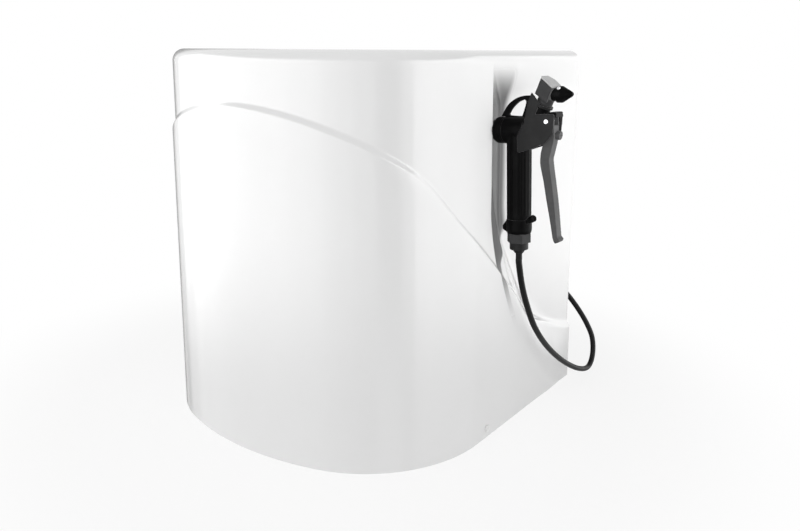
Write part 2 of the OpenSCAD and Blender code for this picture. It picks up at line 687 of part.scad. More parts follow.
// A point behind the tank
function bay(x, y, z) = [x, tank_y + y, z];
suction_route = [tank_barb, bay(40, 27, 30), bay(40, 35, 30), bay(52, 53, 31), bay(80, 73, 38),
    bay(114, 89, 54), bay(144, 99, 80), bay(160, 104, 104), bay(166, 105, 126), bay(161, 105, line_z - 20),
    bay(146, 105, line_z - 5), bay(126, 105, line_z), bay(117, 105, line_z), filter_in];
feed_route = [filter_out, bay(24, 105, line_z), bay(10, 105, line_z), bay(-5, 104, line_z),
    bay(head_x + 16, 104, line_z - 4), bay(head_x + 4, 103, head_top + 23), bay(head_x, 103, head_top + 9),
    bay(head_x, 103, head_top + 5), head_in];
pressure_route = [head_out, bay(head_x, 67, head_top + 7), bay(head_x, 67, head_top + 15), bay(-35, 68, 165),
    bay(-22, 73, 190), bay(4, 82, 205), bay(40, 93, 208), bay(84, 102, 197), bay(125, 105, 187),
    bay(146, 110, 183), [outlet_x - 5, plate_y - 59, outlet_z + 1], [outlet_x, plate_y - 39, outlet_z],
    [outlet_x, plate_y - 31, outlet_z], elbow_in];
module suction_tube() { color("whitesmoke") tube(suction_route, tube_d); }
module feed_tube() { color("whitesmoke") tube(feed_route, tube_d); }
module pressure_tube() { color("whitesmoke") tube(pressure_route, tube_d, 8, 3, [1, 0, 0]); }

// ---- holder, its back cut to the slope of the pocket wall and bonded there ----
module at_pocket_wall() {
    translate([gun_wall_x, gun_y, gun_z]) rotate([0, 0, pocket_slope])
        rotate([0, -wall_tilt, 0]) children();
}
module gun_holder() {
    color("black") difference() {
        at_gun() union() {
            along_x(seat_x - 12, seat_x + holder_t, holder_d);
            along_x(seat_x + holder_t - eps, cap_back + peg_l, peg_d);
        }
        at_pocket_wall() translate([fit - 50, -50, -50]) cube([50, 100, 100]);
    }
}

// ---- gun ----
pivot = [40.5, 11];
chamber_d = 20;
seat_in = 8;
stem_end = 42;
stem_travel = 2.3;
slot_x = 26;
slot_w = lever_w + 0.8;
seal_x = 21;
neck_foot = [30, 25];
neck_d2 = 19.6;
spigot_d = 10;
spigot_top = 22;
cheek = [[22, 44], [17.5, 34], [12, 9], [4, -6], [4.5, -26], [24, -20], [39.5, -13.5], [49, -1.5], [50.5, 17],
    [49, 19.4], [26.5, 19.4], [32.5, 32]];
block = [[16, 30], [11, 9], [3, -6], [3.5, -24], [24, -18.5], [38, -12.5], [47.5, -1.5], [49, 16.5],
    [49, 19.4], [26.5, 19.4], [24, 24]];

module at_pivot() {
    translate([pivot[0], 0, pivot[1]]) rotate([90, 0, 0]) children();
}
module at_head() {
    translate([neck_foot[0], 0, neck_foot[1]]) rotate([0, head_lean, 0]) children();
}
// A profile in the gun's x-z plane, given its thickness across the gun
module across(t, y = 0) {
    translate([0, y + t / 2, 0]) rotate([90, 0, 0]) linear_extrude(t) children();
}
loop_outside = [[-23, 16.3], [-19, 23], [-13, 31], [-4, 37], [5, 40], [14, 40.5], [20, 40]];
loop_inside = [[-13.5, 17.5], [-11, 22.5], [-6.5, 28], [0, 33], [6, 35.5], [9.5, 35.5]];
module loop_profile() {
    difference() {
        polygon(concat(spline(loop_outside, 3), [[20, 40], [18, 34], [12, 10], [-16.9, 10], [-16.9, 16.3]]));
        polygon(concat(spline(loop_inside, 3), [[9.5, 35.5], [10.5, 33], [8.5, 26], [5, 16.5]]));
    }
}
module gun_body() {
    flutes = 18;
    color("black") at_gun() difference() {
        union() {
            along_x(housing_back, 10, housing_d);
            translate([0, 0, -grip_l]) cylinder(d = grip_d, h = grip_l);
            translate([0, 0, -grip_l - collar_l + 2]) cylinder(d = 18, h = collar_l);
            across(body_t) polygon(block);
            across(6) loop_profile();
            at_head() translate([0, 0, -12]) cylinder(d = neck_d2, h = 18);
            at_head() cylinder(d = spigot_d, h = spigot_top);
            across(body_t) polygon([[42, 19.4], [52, 19.4], [51, 21.6], [42, 21.6]]);
            across(body_t) polygon([[50.4, 15.5], [52, 15], [52, 20], [50.4, 20]]);
        }
        along_x(housing_back - 1, seat_in, chamber_d);
        along_x(0, seal_x + 3, 10);
        along_x(0, slot_x + 1, stem_d + 2 * fit);
        translate([0, 0, -grip_l - 19]) cylinder(d = 10, h = grip_l + 15);
        at_head() translate([0, 0, -26]) cylinder(d = 6, h = 60);
        across(slot_w) polygon([[slot_x, -40], [slot_x, 19.4], [50.4, 19.4], [50.4, 14],
            [60, 14], [60, -40]]);
        for (s = [-1, 1]) across(housing_d, s * (body_t + housing_d) / 2) polygon(cheek);
        at_pivot() cylinder(d = pin_d + 2 * fit, h = 40, center = true);
        at_knob() along_x(12, 40, 6 + 2 * slip);
        for (k = [0:flutes - 1]) rotate(k * 360 / flutes) translate([grip_d / 2 + 0.6, 0, -grip_l + 6])
            cylinder(d = 2.4, h = grip_l - 30, $fn = 16);
    }
}
module valve_cap() {
    round_r = 6;
    color("black") at_gun() rotate([0, 90, 0]) difference() {
        union() {
            rotate_extrude() hull() {
                translate([0, housing_back - 1]) square([housing_r, 1]);
                translate([0, cap_back]) square([housing_r - round_r, 1]);
                translate([housing_r - round_r, cap_back + round_r]) intersection() {
                    circle(round_r);
                    translate([0, -round_r]) square(round_r);
                }
            }
            translate([0, 0, housing_back - eps]) cylinder(d = chamber_d - 2 * fit, h = 9);
        }
        translate([0, 0, cap_back - 1]) cylinder(d = peg_d + 2 * slip, h = peg_l + 2);
        translate([0, 0, housing_back + 5]) cylinder(d = 15, h = 5);
        rotate_extrude() translate([housing_r, housing_back - 2.5]) circle(0.6, $fn = 16);
    }
}
module valve_stem() {
    color("silver") at_gun() union() {
        along_x(seat_in - 1, stem_end, stem_d);
        along_x(seat_in - 3, seat_in, 16);
        along_x(seat_in - 11, seat_in - 3 + eps, 7);
    }
}
module valve_spring() {
    x0 = housing_back + 5;
    x1 = seat_in - 3 - stem_travel;
    wire = 1.4;
    turns = 4;
    per = 12;
    route = [for (k = [0:turns * per]) let (a = 360 * k / per)
        [x0 + wire / 2 + (x1 - x0 - wire) * k / (turns * per), 6 * cos(a), 6 * sin(a)]];
    color("silver") at_gun() tube(route, wire, 6, 1, [1, 0, 0]);
}
module stem_seal() {
    color("black") at_gun() translate([seal_x + 1, 0, 0]) rotate([0, 90, 0]) rotate_extrude()
        translate([4, 0]) circle(0.95, $fn = 16);
}
module cheek_plates() {
    color("dimgray") at_gun() difference() {
        for (s = [-1, 1]) across(cheek_t, s * (body_t / 2 + cheek_t / 2)) polygon(cheek);
        at_pivot() cylinder(d = pin_d + 2 * fit, h = 40, center = true);
        at_head() translate([0, 0, 1.5]) cylinder(d = ring_d + 1, h = 30);
    }
}
module pivot_pin() {
    l = body_t + 2 * cheek_t + 1;
    color("white") at_gun() at_pivot() cylinder(d = pin_d, h = l, center = true);
}
lever_front = [[48, -10], [46.4, -17], [43.4, -29], [42.4, -34], [43.7, -45], [46.5, -63], [49, -80],
    [51.1, -98], [52.7, -114], [53.8, -125.5]];
lever_tip = [[53.8, -125.5], [56.8, -128.5], [55.6, -131.5], [51.5, -133], [49.5, -130.5]];
lever_back = [[48, -126], [46, -114.5], [43, -98], [39.5, -81], [35.5, -58.5], [31.6, -42], [30.9, -33],
    [32.1, -23.5], [34.3, -15], [34.5, 0]];
lever_profile = concat([[36, 17], [47.5, 18.2], [48.2, 8]], spline(lever_front, 2), lever_tip,
    spline(lever_back, 2), [[34.5, 0], [34, 9]]);
adjust_tilt = 8;
adjust_at = [49.1, -5];
module at_adjuster() {
    translate([adjust_at[0], 0, adjust_at[1]]) rotate([0, adjust_tilt, 0]) children();
}
module lever() {
    web = 3.2;
    color("dimgray") at_gun() difference() {
        across(lever_w) polygon(lever_profile);
        translate([-web, 0, 0]) across(lever_w - 5) polygon(lever_profile);
        across(lever_w - 5) polygon([[28, 6], [52, 6], [52, 20], [28, 20]]);
        at_pivot() cylinder(d = pin_d + 2 * fit, h = 40, center = true);
        at_adjuster() along_x(-8, 8, 5 + 2 * fit);
    }
}
module adjuster() {
    color("dimgray") at_gun() at_adjuster() difference() {
        union() {
            along_x(-6, 0.3, 5);
            along_x(0.2, 5, 11, 10);
        }
        translate([4, -4, -0.6]) cube([2, 8, 1.2]);
    }
}
ring_d = 23;
module neck_ring() {
    color("gray") at_gun() at_head() translate([0, 0, 2.5]) difference() {
        cylinder(d = ring_d, h = 3);
        translate([0, 0, -1]) cylinder(d = neck_d2 + 2 * fit, h = 5);
    }
}
nozzle_z = 41;
nozzle_x = 49.5;
nozzle_d = 18.8;
stub_d = 15;
stub_l = 6;
turret_foot = [10.6, 14.6];
turret_front = 6.2;
turret_fall = 1.1;
lid_t = 2.7;
// The turret's side in the head's x-z plane, from its foot to a height, and its plan
function turret_side(h) = let (x = turret_front, b = turret_front - turret_w)
    [[b, turret_foot[1]], [x, turret_foot[0]], [x, turret_foot[0] + h - turret_fall], [b, turret_foot[1] + h]];
turret_plan = let (x = turret_front, b = turret_front - turret_w, y = turret_t / 2)
    [[b, -y], [x, -y], [x, y], [b + 7, y], [b, y - 7]];
module turret_block(h) {
    intersection() {
        across(turret_t + 2) polygon(turret_side(h));
        linear_extrude(60) polygon(turret_plan);
    }
}
module turret() {
    color("dimgray") at_gun() difference() {
        at_head() union() {
            translate([0, 0, 6.2]) cylinder(d = 19, h = 8);
            turret_block(turret_h - lid_t);
        }
        at_head() translate([0, 0, 5]) cylinder(d = spigot_d + 2 * fit, h = spigot_top - 4);
        translate([0, 0, nozzle_z]) {
            along_x(neck_foot[0] + 4, nozzle_x, 8 + 2 * fit);
            along_x(nozzle_x - stub_l - fit, nozzle_x + 20, stub_d + 2 * fit);
            along_x(nozzle_x - fit, nozzle_x + 20, nozzle_d + 2 * fit);
        }
    }
}
module turret_cap() {
    lid = [for (k = [0:3]) turret_side(k < 2 ? turret_h - lid_t + eps : turret_h)[k < 2 ? 3 - k : k]];
    color("lightgray") at_gun() difference() {
        at_head() intersection() {
            across(turret_t + 2) polygon(lid);
            linear_extrude(60) polygon(turret_plan);
        }
        translate([0, 0, nozzle_z]) {
            along_x(nozzle_x - stub_l - fit, nozzle_x + 20, stub_d + 2 * fit);
            along_x(nozzle_x - fit, nozzle_x + 20, nozzle_d + 2 * fit);
        }
    }
}
module at_nozzle_screw() {
    translate([0, 0, nozzle_z]) rotate([43, 0, 0]) translate([nozzle_x + 3.8, 0, 0]) children();
}
module nozzle() {
    color("black") at_gun() translate([0, 0, nozzle_z]) difference() {
        union() {
            along_x(nozzle_x - stub_l, nozzle_x + 1, stub_d);
            along_x(nozzle_x, nozzle_x + 6, nozzle_d);
            along_x(nozzle_x + 6 - eps, 68, nozzle_d, 4.6);
        }
        along_x(nozzle_x - stub_l - 1, 60, 5);
        along_x(59, 69, 2);
        translate([0, 0, -nozzle_z]) at_nozzle_screw() translate([0, 0, 5]) cylinder(d = 2.4 + 2 * fit, h = 8);
    }
}
module nozzle_screw() {
    color("lightgray") at_gun() at_nozzle_screw() {
        translate([0, 0, 6]) cylinder(d = 2.4, h = 4);
        translate([0, 0, 9.4]) cylinder(d = 4, h = 1.4);
    }
}
collar_d = 31.5;
knob_turn = -20;
knob_rise = 27;
knob_d = 8.5;
module at_knob() {
    translate([0, 0, -grip_l - 9]) rotate([0, 0, knob_turn]) rotate([0, -knob_rise, 0]) children();
}
collar_l = 17.5;
collar_lug = [[-11, -2], [-15, -2], [-20.5, -9], [-20.5, -13.5], [-15, 0.5 - collar_l], [-11, 0.5 - collar_l]];
module collar() {
    r = collar_d / 2;
    color("black") at_gun() translate([0, 0, -grip_l]) difference() {
        union() {
            rotate_extrude() polygon([[9 + fit, -collar_l], [r - 1, -collar_l], [r, 4 - collar_l], [r, -4],
                [grip_d / 2 + 0.3, -2 * eps], [9 + fit, -2 * eps]]);
            across(10) polygon(collar_lug);
        }
        translate([0, 0, grip_l]) at_knob() along_x(8, 30, 6 + 2 * fit);
    }
}
module flow_knob() {
    color("black") at_gun() at_knob() difference() {
        union() {
            along_x(12.5, 22, 6);
            along_x(21, 29.5, knob_d);
        }
        translate([28.5, -0.6, -3]) cube([2, 1.2, 6]);
    }
}
union_z = -grip_l - collar_l - 0.3;
union_l = 11.5;
gland_l = 9;
relief_l = 5;
relief_d = 17;
module union_nut() {
    color("gray") at_gun() translate([0, 0, union_z - union_l]) difference() {
        rotate(12) cylinder(d = union_af / cos(30), h = union_l, $fn = 6);
        translate([0, 0, -1]) cylinder(d = 12 + 2 * fit, h = union_l + 2);
    }
}
module gland_nut() {
    color("dimgray") at_gun() translate([0, 0, union_z - union_l - gland_l]) {
        cylinder(d = 23, h = gland_l - fit);
        cylinder(d = 12, h = gland_l + union_l - 1);
    }
}
module strain_relief() {
    color("black") at_gun() translate([0, 0, union_z - union_l - gland_l - relief_l - fit])
        cylinder(d1 = relief_d - 7, d2 = relief_d, h = relief_l);
}
hose_z = union_z - union_l - gland_l - relief_l - fit;
hose_start = [gun_x - hose_z * sin(gun_lean), gun_y, gun_z + hose_z * cos(gun_lean)];
module hose() { color("black") tube(hose_route, hose_d, 10, 3, [0, 1, 0]); }
hose_end = [outlet_x + elbow_l * cos(elbow_turn), elbow_y, outlet_z - elbow_l * sin(elbow_turn)];
hose_dir = [sin(gun_lean), 0, -cos(gun_lean)];
elbow_dir = [cos(elbow_turn), 0, -sin(elbow_turn)];
// A point beside the cover, out from its side and back from the gun, and one behind it, back from its edge
function beside(x, y, z) = [half_w + x, gun_y + y, z];
function behind(x, y, z) = [half_w + x, back_y + y, z];
hose_route = [hose_start, hose_start + 7 * hose_dir, hose_start + 13 * hose_dir,
    beside(26, 11, 0.52 * gun_z), beside(25, 31, 0.436 * gun_z), beside(24, 59, 0.343 * gun_z),
    beside(23, 101, 0.245 * gun_z), beside(24, 151, 62), beside(27, 201, 32),
    behind(30, 0, 19), behind(31, 17, 24), behind(30, 25, 42), behind(26, 26, 64), behind(16, 25, 84),
    behind(4, 24, 101), behind(-8, 22, 116), behind(-19, 20, 128), behind(-32, 18, 140), behind(-44, 17, 150),
    hose_end + 10 * elbow_dir, hose_end + 5 * elbow_dir, hose_end];

cover();
cover_frame();
back_plate();
wall_rails();
base_tray();
side_screws();
cover_screws();
frame_screws();
tank();
tank_cap();
tank_brackets();
filter_head();
filter_bowl();
filter_bracket();
pump_base();
pump_feet();
motor_case();
motor_rotor();
pump_head();
pump_screws();
suction_tube();
feed_tube();
pressure_tube();
outlet_elbow();
outlet_nut();
power_inlet();
gun_holder();
gun_body();
valve_cap();
valve_stem();
valve_spring();
stem_seal();
cheek_plates();
pivot_pin();
lever();
adjuster();
neck_ring();
turret();
turret_cap();
nozzle();
nozzle_screw();
collar();
flow_knob();
union_nut();
gland_nut();
strain_relief();
hose();
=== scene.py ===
# %% [markdown]
# # Resin wash station
# A tall moulded cover with a flat open back stands round a tank, a filter and a pump. A hand gun hangs in a
# shallow pocket in its side, and a thin hose runs from the gun round the back edge to an outlet in the back
# plate. The solids come from the CAD model, and this file dresses them: it makes the cover's fine skin,
# rounds the edges of the moulded gun, lays the hose and gives each surface its finish.

# %% Load the solids
import json
import math

import bpy
import bmesh
import numpy as np
from mathutils import Matrix, Vector


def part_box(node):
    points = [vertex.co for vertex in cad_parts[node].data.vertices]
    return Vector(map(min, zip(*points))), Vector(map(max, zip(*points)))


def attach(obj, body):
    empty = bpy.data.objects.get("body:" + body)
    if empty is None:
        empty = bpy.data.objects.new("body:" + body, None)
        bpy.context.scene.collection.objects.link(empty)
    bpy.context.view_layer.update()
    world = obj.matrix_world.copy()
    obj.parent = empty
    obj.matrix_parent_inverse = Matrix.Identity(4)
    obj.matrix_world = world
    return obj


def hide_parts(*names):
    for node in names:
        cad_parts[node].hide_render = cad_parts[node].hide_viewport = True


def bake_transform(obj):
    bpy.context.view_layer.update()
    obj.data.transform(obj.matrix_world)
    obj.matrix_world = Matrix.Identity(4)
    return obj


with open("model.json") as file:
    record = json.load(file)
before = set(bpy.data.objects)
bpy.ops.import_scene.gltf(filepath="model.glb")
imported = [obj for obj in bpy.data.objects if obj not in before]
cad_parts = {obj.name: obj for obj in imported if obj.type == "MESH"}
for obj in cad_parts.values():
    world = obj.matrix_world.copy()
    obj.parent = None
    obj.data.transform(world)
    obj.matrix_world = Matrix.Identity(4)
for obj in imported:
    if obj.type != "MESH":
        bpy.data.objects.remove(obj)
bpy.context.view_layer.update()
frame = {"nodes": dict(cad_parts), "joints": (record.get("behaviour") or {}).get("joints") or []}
MM = 0.001
scene = bpy.context.scene
joints = {j["name"]: j for j in frame["joints"]}


def rounded(values):
    return [round(v, 4) for v in values]


# %% [markdown]
# The camera stands to the front right, level with the cover's top, and looks down at it. A lens this short,
# this near, makes the cover taper towards its foot. Three angles could turn a camera too, but a direction to
# look in and a small roll are easier to read, so its turn is worked out from them.

# %% Camera
LENS, SENSOR_W = 33.70, 36
CAMERA_AT = Vector((0.6884, -0.8146, 0.5))
CAMERA_TURN, CAMERA_DIP, CAMERA_ROLL = math.radians(36.65), math.radians(16.08), math.radians(0.32)
look = Vector((-math.sin(CAMERA_TURN) * math.cos(CAMERA_DIP), math.cos(CAMERA_TURN) * math.cos(CAMERA_DIP),
               -math.sin(CAMERA_DIP)))
camera = bpy.data.objects.new("camera", bpy.data.cameras.new("camera"))
scene.collection.objects.link(camera)
camera.data.lens, camera.data.sensor_width = LENS, SENSOR_W
camera.rotation_mode = "QUATERNION"
camera.location = CAMERA_AT
camera.rotation_quaternion = (look.to_track_quat("-Z", "Y").to_matrix()
                              @ Matrix.Rotation(CAMERA_ROLL, 3, "Z")).to_quaternion()
scene.camera = camera
print("camera at", tuple(CAMERA_AT), "lens", LENS)

# %% [markdown]
# Geometry Nodes make what follows a path or repeats. Each tree has named inputs, and a modifier takes them by
# the socket's identifier. Afterwards the result is kept as a plain mesh, so that nothing stays live.

# %% Helpers for node trees and finished meshes
def new_object(name, mesh):
    made = bpy.data.objects.new(name, mesh)
    scene.collection.objects.link(made)
    return made


def mesh_of(name, points, faces=(), edges=()):
    mesh = bpy.data.meshes.new(name)
    mesh.from_pydata([tuple(p) for p in points], list(edges), list(faces))
    mesh.update()
    return mesh


def geometry_tree(name, inputs):
    """A tree with a geometry input and output and the named inputs, given as (name, socket type, default)."""
    tree = bpy.data.node_groups.new(name, "GeometryNodeTree")
    tree.interface.new_socket("Geometry", in_out="INPUT", socket_type="NodeSocketGeometry")
    for label, kind, default in inputs:
        made = tree.interface.new_socket(label, in_out="INPUT", socket_type=kind)
        if default is not None:
            made.default_value = default
    tree.interface.new_socket("Geometry", in_out="OUTPUT", socket_type="NodeSocketGeometry")
    return tree, tree.nodes.new("NodeGroupInput"), tree.nodes.new("NodeGroupOutput")


def node(tree, kind, links=None, **settings):
    """Adds a node, sets its properties, and feeds its inputs from sockets or plain values."""
    made = tree.nodes.new(kind)
    for key, value in settings.items():
        setattr(made, key, value)
    for key, value in (links or {}).items():
        if isinstance(value, bpy.types.NodeSocket):
            tree.links.new(value, made.inputs[key])
        else:
            made.inputs[key].default_value = value
    return made


def calc(tree, operation, *values, clamp=False):
    """One step of arithmetic in a tree, on sockets or plain numbers."""
    links = dict(enumerate(values))
    return node(tree, "ShaderNodeMath", links, operation=operation, use_clamp=clamp).outputs[0]


def eased(tree, value, low, high, start=0.0, end=1.0):
    """Goes smoothly from start to end while the value goes from low to high."""
    links = {"Value": value, "From Min": low, "From Max": high, "To Min": start, "To Max": end}
    return node(tree, "ShaderNodeMapRange", links, interpolation_type="SMOOTHSTEP").outputs["Result"]


def finish_tree(tree, geometry, material, out):
    """Every tree ends with its instances made real and its material set."""
    real = node(tree, "GeometryNodeRealizeInstances", {"Geometry": geometry})
    coat = node(tree, "GeometryNodeSetMaterial", {"Geometry": real.outputs[0], "Material": material})
    tree.links.new(coat.outputs[0], out.inputs[0])


def grow(start, tree, values, name):
    """Runs the tree on the start object and returns a plain mesh object in its place."""
    modifier = start.modifiers.new("grow", "NODES")
    modifier.node_group = tree
    for item in tree.interface.items_tree:
        if item.item_type == "SOCKET" and item.in_out == "INPUT" and item.name in values:
            modifier[item.identifier] = values[item.name]
    graph = bpy.context.evaluated_depsgraph_get()
    mesh = bpy.data.meshes.new_from_object(start.evaluated_get(graph))
    mesh.name = name
    bpy.data.objects.remove(start)
    return new_object(name, mesh)


def triangles(piece):
    piece.data.calc_loop_triangles()
    return len(piece.data.loop_triangles)


print("helpers ready")

# %% [markdown]
# The hose is one length of smooth black rubber tube. It leaves the gun straight down, hangs in a long bow
# beside the cover, turns behind the back edge and goes up into the outlet elbow. A simulation could drape it,
# but then its bow would be hard to steer. So its route is a short list of points with a smooth curve through
# them, and a circle is swept along that curve. First the place of the gun is worked out from the lever's
# joint.

# %% Where the gun hangs
GUN_LEAN = math.radians(3)
# The lever's pin in the gun's own frame, in millimetres
PIVOT = (40.5, 0, 11)
gun_turn = Matrix.Rotation(-GUN_LEAN, 3, "Y")
gun_origin = Vector(joints["lever_squeeze"]["pos_m"]) - gun_turn @ (Vector(PIVOT) * MM)


def at_gun(x, y, z):
    """A point in the gun's own frame, in millimetres, as a point in the object's frame, in metres."""
    return gun_origin + gun_turn @ (Vector((x, y, z)) * MM)


print("gun origin", rounded(gun_origin))

# %% Ends of the hose
# Lengths down the gun from its origin, and the clearance above the hose, in millimetres
GRIP_L, COLLAR_L, UNION_GAP, UNION_L, GLAND_L, RELIEF_L, HOSE_GAP = 108, 17.5, 0.3, 11.5, 9, 5, 0.05
HOSE_FOOT = -GRIP_L - COLLAR_L - UNION_GAP - UNION_L - GLAND_L - RELIEF_L - HOSE_GAP
hose_start = at_gun(0, 0, HOSE_FOOT)
down = gun_turn @ Vector((0, 0, -1))
# The outlet's place in the back plate, and the elbow's turn down, length and ball, in metres
OUTLET = Vector((0.165, 0, 0.18))
ELBOW_TURN, ELBOW_L, ELBOW_BALL_R = math.radians(40), 0.020, 0.008
elbow_dir = Vector((math.cos(ELBOW_TURN), 0, -math.sin(ELBOW_TURN)))
ELBOW_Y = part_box("outlet_elbow")[1].y - ELBOW_BALL_R
hose_end = Vector((OUTLET.x, ELBOW_Y, OUTLET.z)) + elbow_dir * ELBOW_L
print("hose from", rounded(hose_start), "to", rounded(hose_end))


# %% Route of the hose
def through(a, b, c, d, f):
    """The place at share f of the way from b to c, on the smooth curve through all four."""
    return b + f * (c - a + f * (2 * a - 5 * b + 4 * c - d + f * (3 * (b - c) + d - a))) / 2


def smooth_route(points, per):
    """The curve through the points, with a few steps in each span."""
    p = [Vector(q) for q in points]
    out = []
    for k in range(len(p) - 1):
        b, c = p[k], p[k + 1]
        a = p[k - 1] if k else 2 * b - c
        d = p[k + 2] if k < len(p) - 2 else 2 * c - b
        out += [through(a, b, c, d, i / per) for i in range(per)]
    return out + [p[-1]]


# The bow's points, in millimetres
BOW = [(269, 10, 212), (268, 30, 178), (267, 58, 140), (266, 100, 100), (267, 150, 62), (270, 200, 32),
       (273, 235, 19), (274, 252, 24), (273, 260, 42), (269, 261, 64), (259, 260, 84), (247, 259, 101),
       (235, 257, 116), (224, 255, 128), (211, 253, 140), (199, 252, 150)]
# Distances from its ends at which it still runs straight, in metres
LEAD_OUT, LEAD_IN = (0.007, 0.013), (0.010, 0.005)
ROUTE_STEPS = 8
hose_points = ([hose_start] + [hose_start + down * far for far in LEAD_OUT] + [Vector(p) * MM for p in BOW]
               + [hose_end + elbow_dir * far for far in LEAD_IN] + [hose_end])
hose_route = smooth_route(hose_points, ROUTE_STEPS)


# %% Hose
def swept_tree(name, material):
    tree, into, out = geometry_tree(name, [("Radius", "NodeSocketFloat", 0.004),
                                           ("Sides", "NodeSocketInt", 24)])
    path = node(tree, "GeometryNodeMeshToCurve", {"Mesh": into.outputs["Geometry"]})
    ring = node(tree, "GeometryNodeCurvePrimitiveCircle",
                {"Resolution": into.outputs["Sides"], "Radius": into.outputs["Radius"]})
    wall = node(tree, "GeometryNodeCurveToMesh",
                {"Curve": path.outputs[0], "Profile Curve": ring.outputs[0], "Fill Caps": True})
    smooth = node(tree, "GeometryNodeSetShadeSmooth", {"Geometry": wall.outputs[0]})
    finish_tree(tree, smooth.outputs[0], material, out)
    return tree


def swept(name, route, diameter, sides, tree):
    line = mesh_of(name + " line", route, edges=[(k, k + 1) for k in range(len(route) - 1)])
    made = grow(new_object(name + " line", line), tree, {"Radius": diameter / 2, "Sides": sides}, name)
    shell = bmesh.new()
    shell.from_mesh(made.data)
    bmesh.ops.recalc_face_normals(shell, faces=shell.faces)
    shell.to_mesh(made.data)
    shell.free()
    return made


HOSE_D, HOSE_SIDES = 0.008, 28
hose_rubber = bpy.data.materials.new("hose rubber")
hose = swept("wash_hose", hose_route, HOSE_D, HOSE_SIDES, swept_tree("swept hose", hose_rubber))
hose_low, hose_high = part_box("hose")
print("hose triangles", triangles(hose), "box of its solid", rounded(hose_low), rounded(hose_high))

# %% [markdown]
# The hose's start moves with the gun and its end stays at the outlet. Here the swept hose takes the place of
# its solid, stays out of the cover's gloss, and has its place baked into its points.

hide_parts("hose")
hose.visible_glossy = False
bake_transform(hose)

# %% [markdown]
# Plastics, paint and metal share a few effects: a fine grain, patches that are a little duller than the rest,
# and faint rubbing where hands and cloths pass. Each effect is one shader node group, placed in every finish
# with its own values. The Principled shader stays in each material.

# %% Groups, noise and ranges
def socket_kind(is_color):
    return "NodeSocketColor" if is_color else "NodeSocketFloat"


def shader_group(name, inputs, outputs):
    """A node group with the named inputs, given as (name, default), and the named outputs."""
    group = bpy.data.node_groups.new(name, "ShaderNodeTree")
    for label, default in inputs:
        kind = socket_kind(isinstance(default, tuple))
        group.interface.new_socket(label, in_out="INPUT", socket_type=kind).default_value = default
    for label in outputs:
        group.interface.new_socket(label, in_out="OUTPUT", socket_type=socket_kind(label == "Color"))
    return group, group.nodes.new("NodeGroupInput"), group.nodes.new("NodeGroupOutput")


def noise(tree, coordinates, scale, detail, roughness=0.5):
    return node(tree, "ShaderNodeTexNoise", {"Vector": coordinates, "Scale": scale, "Detail": detail,
                                             "Roughness": roughness}).outputs["Fac"]


def spread(tree, value, low, high, to_low, to_high):
    """Goes evenly from one value to the other while the value goes from low to high."""
    links = {"Value": value, "From Min": low, "From Max": high, "To Min": to_low, "To Max": to_high}
    return node(tree, "ShaderNodeMapRange", links).outputs["Result"]


# A Mix node has sockets of one name for numbers and for colours, so they are taken by their place
NUMBER_A, NUMBER_B, NUMBER_OUT = 2, 3, 0
COLOR_A, COLOR_B, COLOR_OUT = 6, 7, 2
print("group helpers ready")

# %% Moulded grain
PATCH_LOW, PATCH_HIGH, WAVE_SCALE = 0.3, 0.7, 7.0
grain, grain_in, grain_out = shader_group(
    "moulded grain", [("Scale", 900.0), ("Smooth", 0.2), ("Dull", 0.3), ("Patch scale", 18.0), ("Wave", 0.0)],
    ["Roughness", "Height"])
place = node(grain, "ShaderNodeTexCoord").outputs["Object"]
fine = noise(grain, place, grain_in.outputs["Scale"], 2.0)
patch = noise(grain, place, grain_in.outputs["Patch scale"], 4.0, 0.6)
duller = spread(grain, patch, PATCH_LOW, PATCH_HIGH, grain_in.outputs["Smooth"], grain_in.outputs["Dull"])
grain.links.new(duller, grain_out.inputs["Roughness"])
wavy = calc(grain, "MULTIPLY", noise(grain, place, WAVE_SCALE, 1.0), grain_in.outputs["Wave"])
grain.links.new(calc(grain, "ADD", fine, wavy), grain_out.inputs["Height"])
print("shared effect:", grain.name)

# %% Rubbed patches
WORN_LOW, WORN_HIGH = 0.45, 0.75
rub, rub_in, rub_out = shader_group(
    "rubbed patches", [("Color", (0.5, 0.5, 0.5, 1)), ("Rubbed", (0.6, 0.6, 0.6, 1)), ("Scale", 40.0),
                       ("Amount", 0.2)], ["Color"])
rub_place = node(rub, "ShaderNodeTexCoord").outputs["Object"]
worn = spread(rub, noise(rub, rub_place, rub_in.outputs["Scale"], 6.0, 0.65), WORN_LOW, WORN_HIGH, 0.0, 1.0)
rubbed_share = calc(rub, "MULTIPLY", worn, rub_in.outputs["Amount"])
mixed = node(rub, "ShaderNodeMix", {"Factor": rubbed_share}, data_type="RGBA")
rub.links.new(rub_in.outputs["Color"], mixed.inputs[COLOR_A])
rub.links.new(rub_in.outputs["Rubbed"], mixed.inputs[COLOR_B])
rub.links.new(mixed.outputs[COLOR_OUT], rub_out.inputs["Color"])
print("shared effect:", rub.name)

# %% [markdown]
# A finish is a colour, how smooth it is where it is clean and where it is dull, how coarse its grain is, and
# how much it is rubbed. Each piece could have a material drawn by hand, but one function keeps them alike.
# The cover is a glossy gel-coated moulding, so it has a clear coat over a white base with a skin that is very
# slightly wavy.

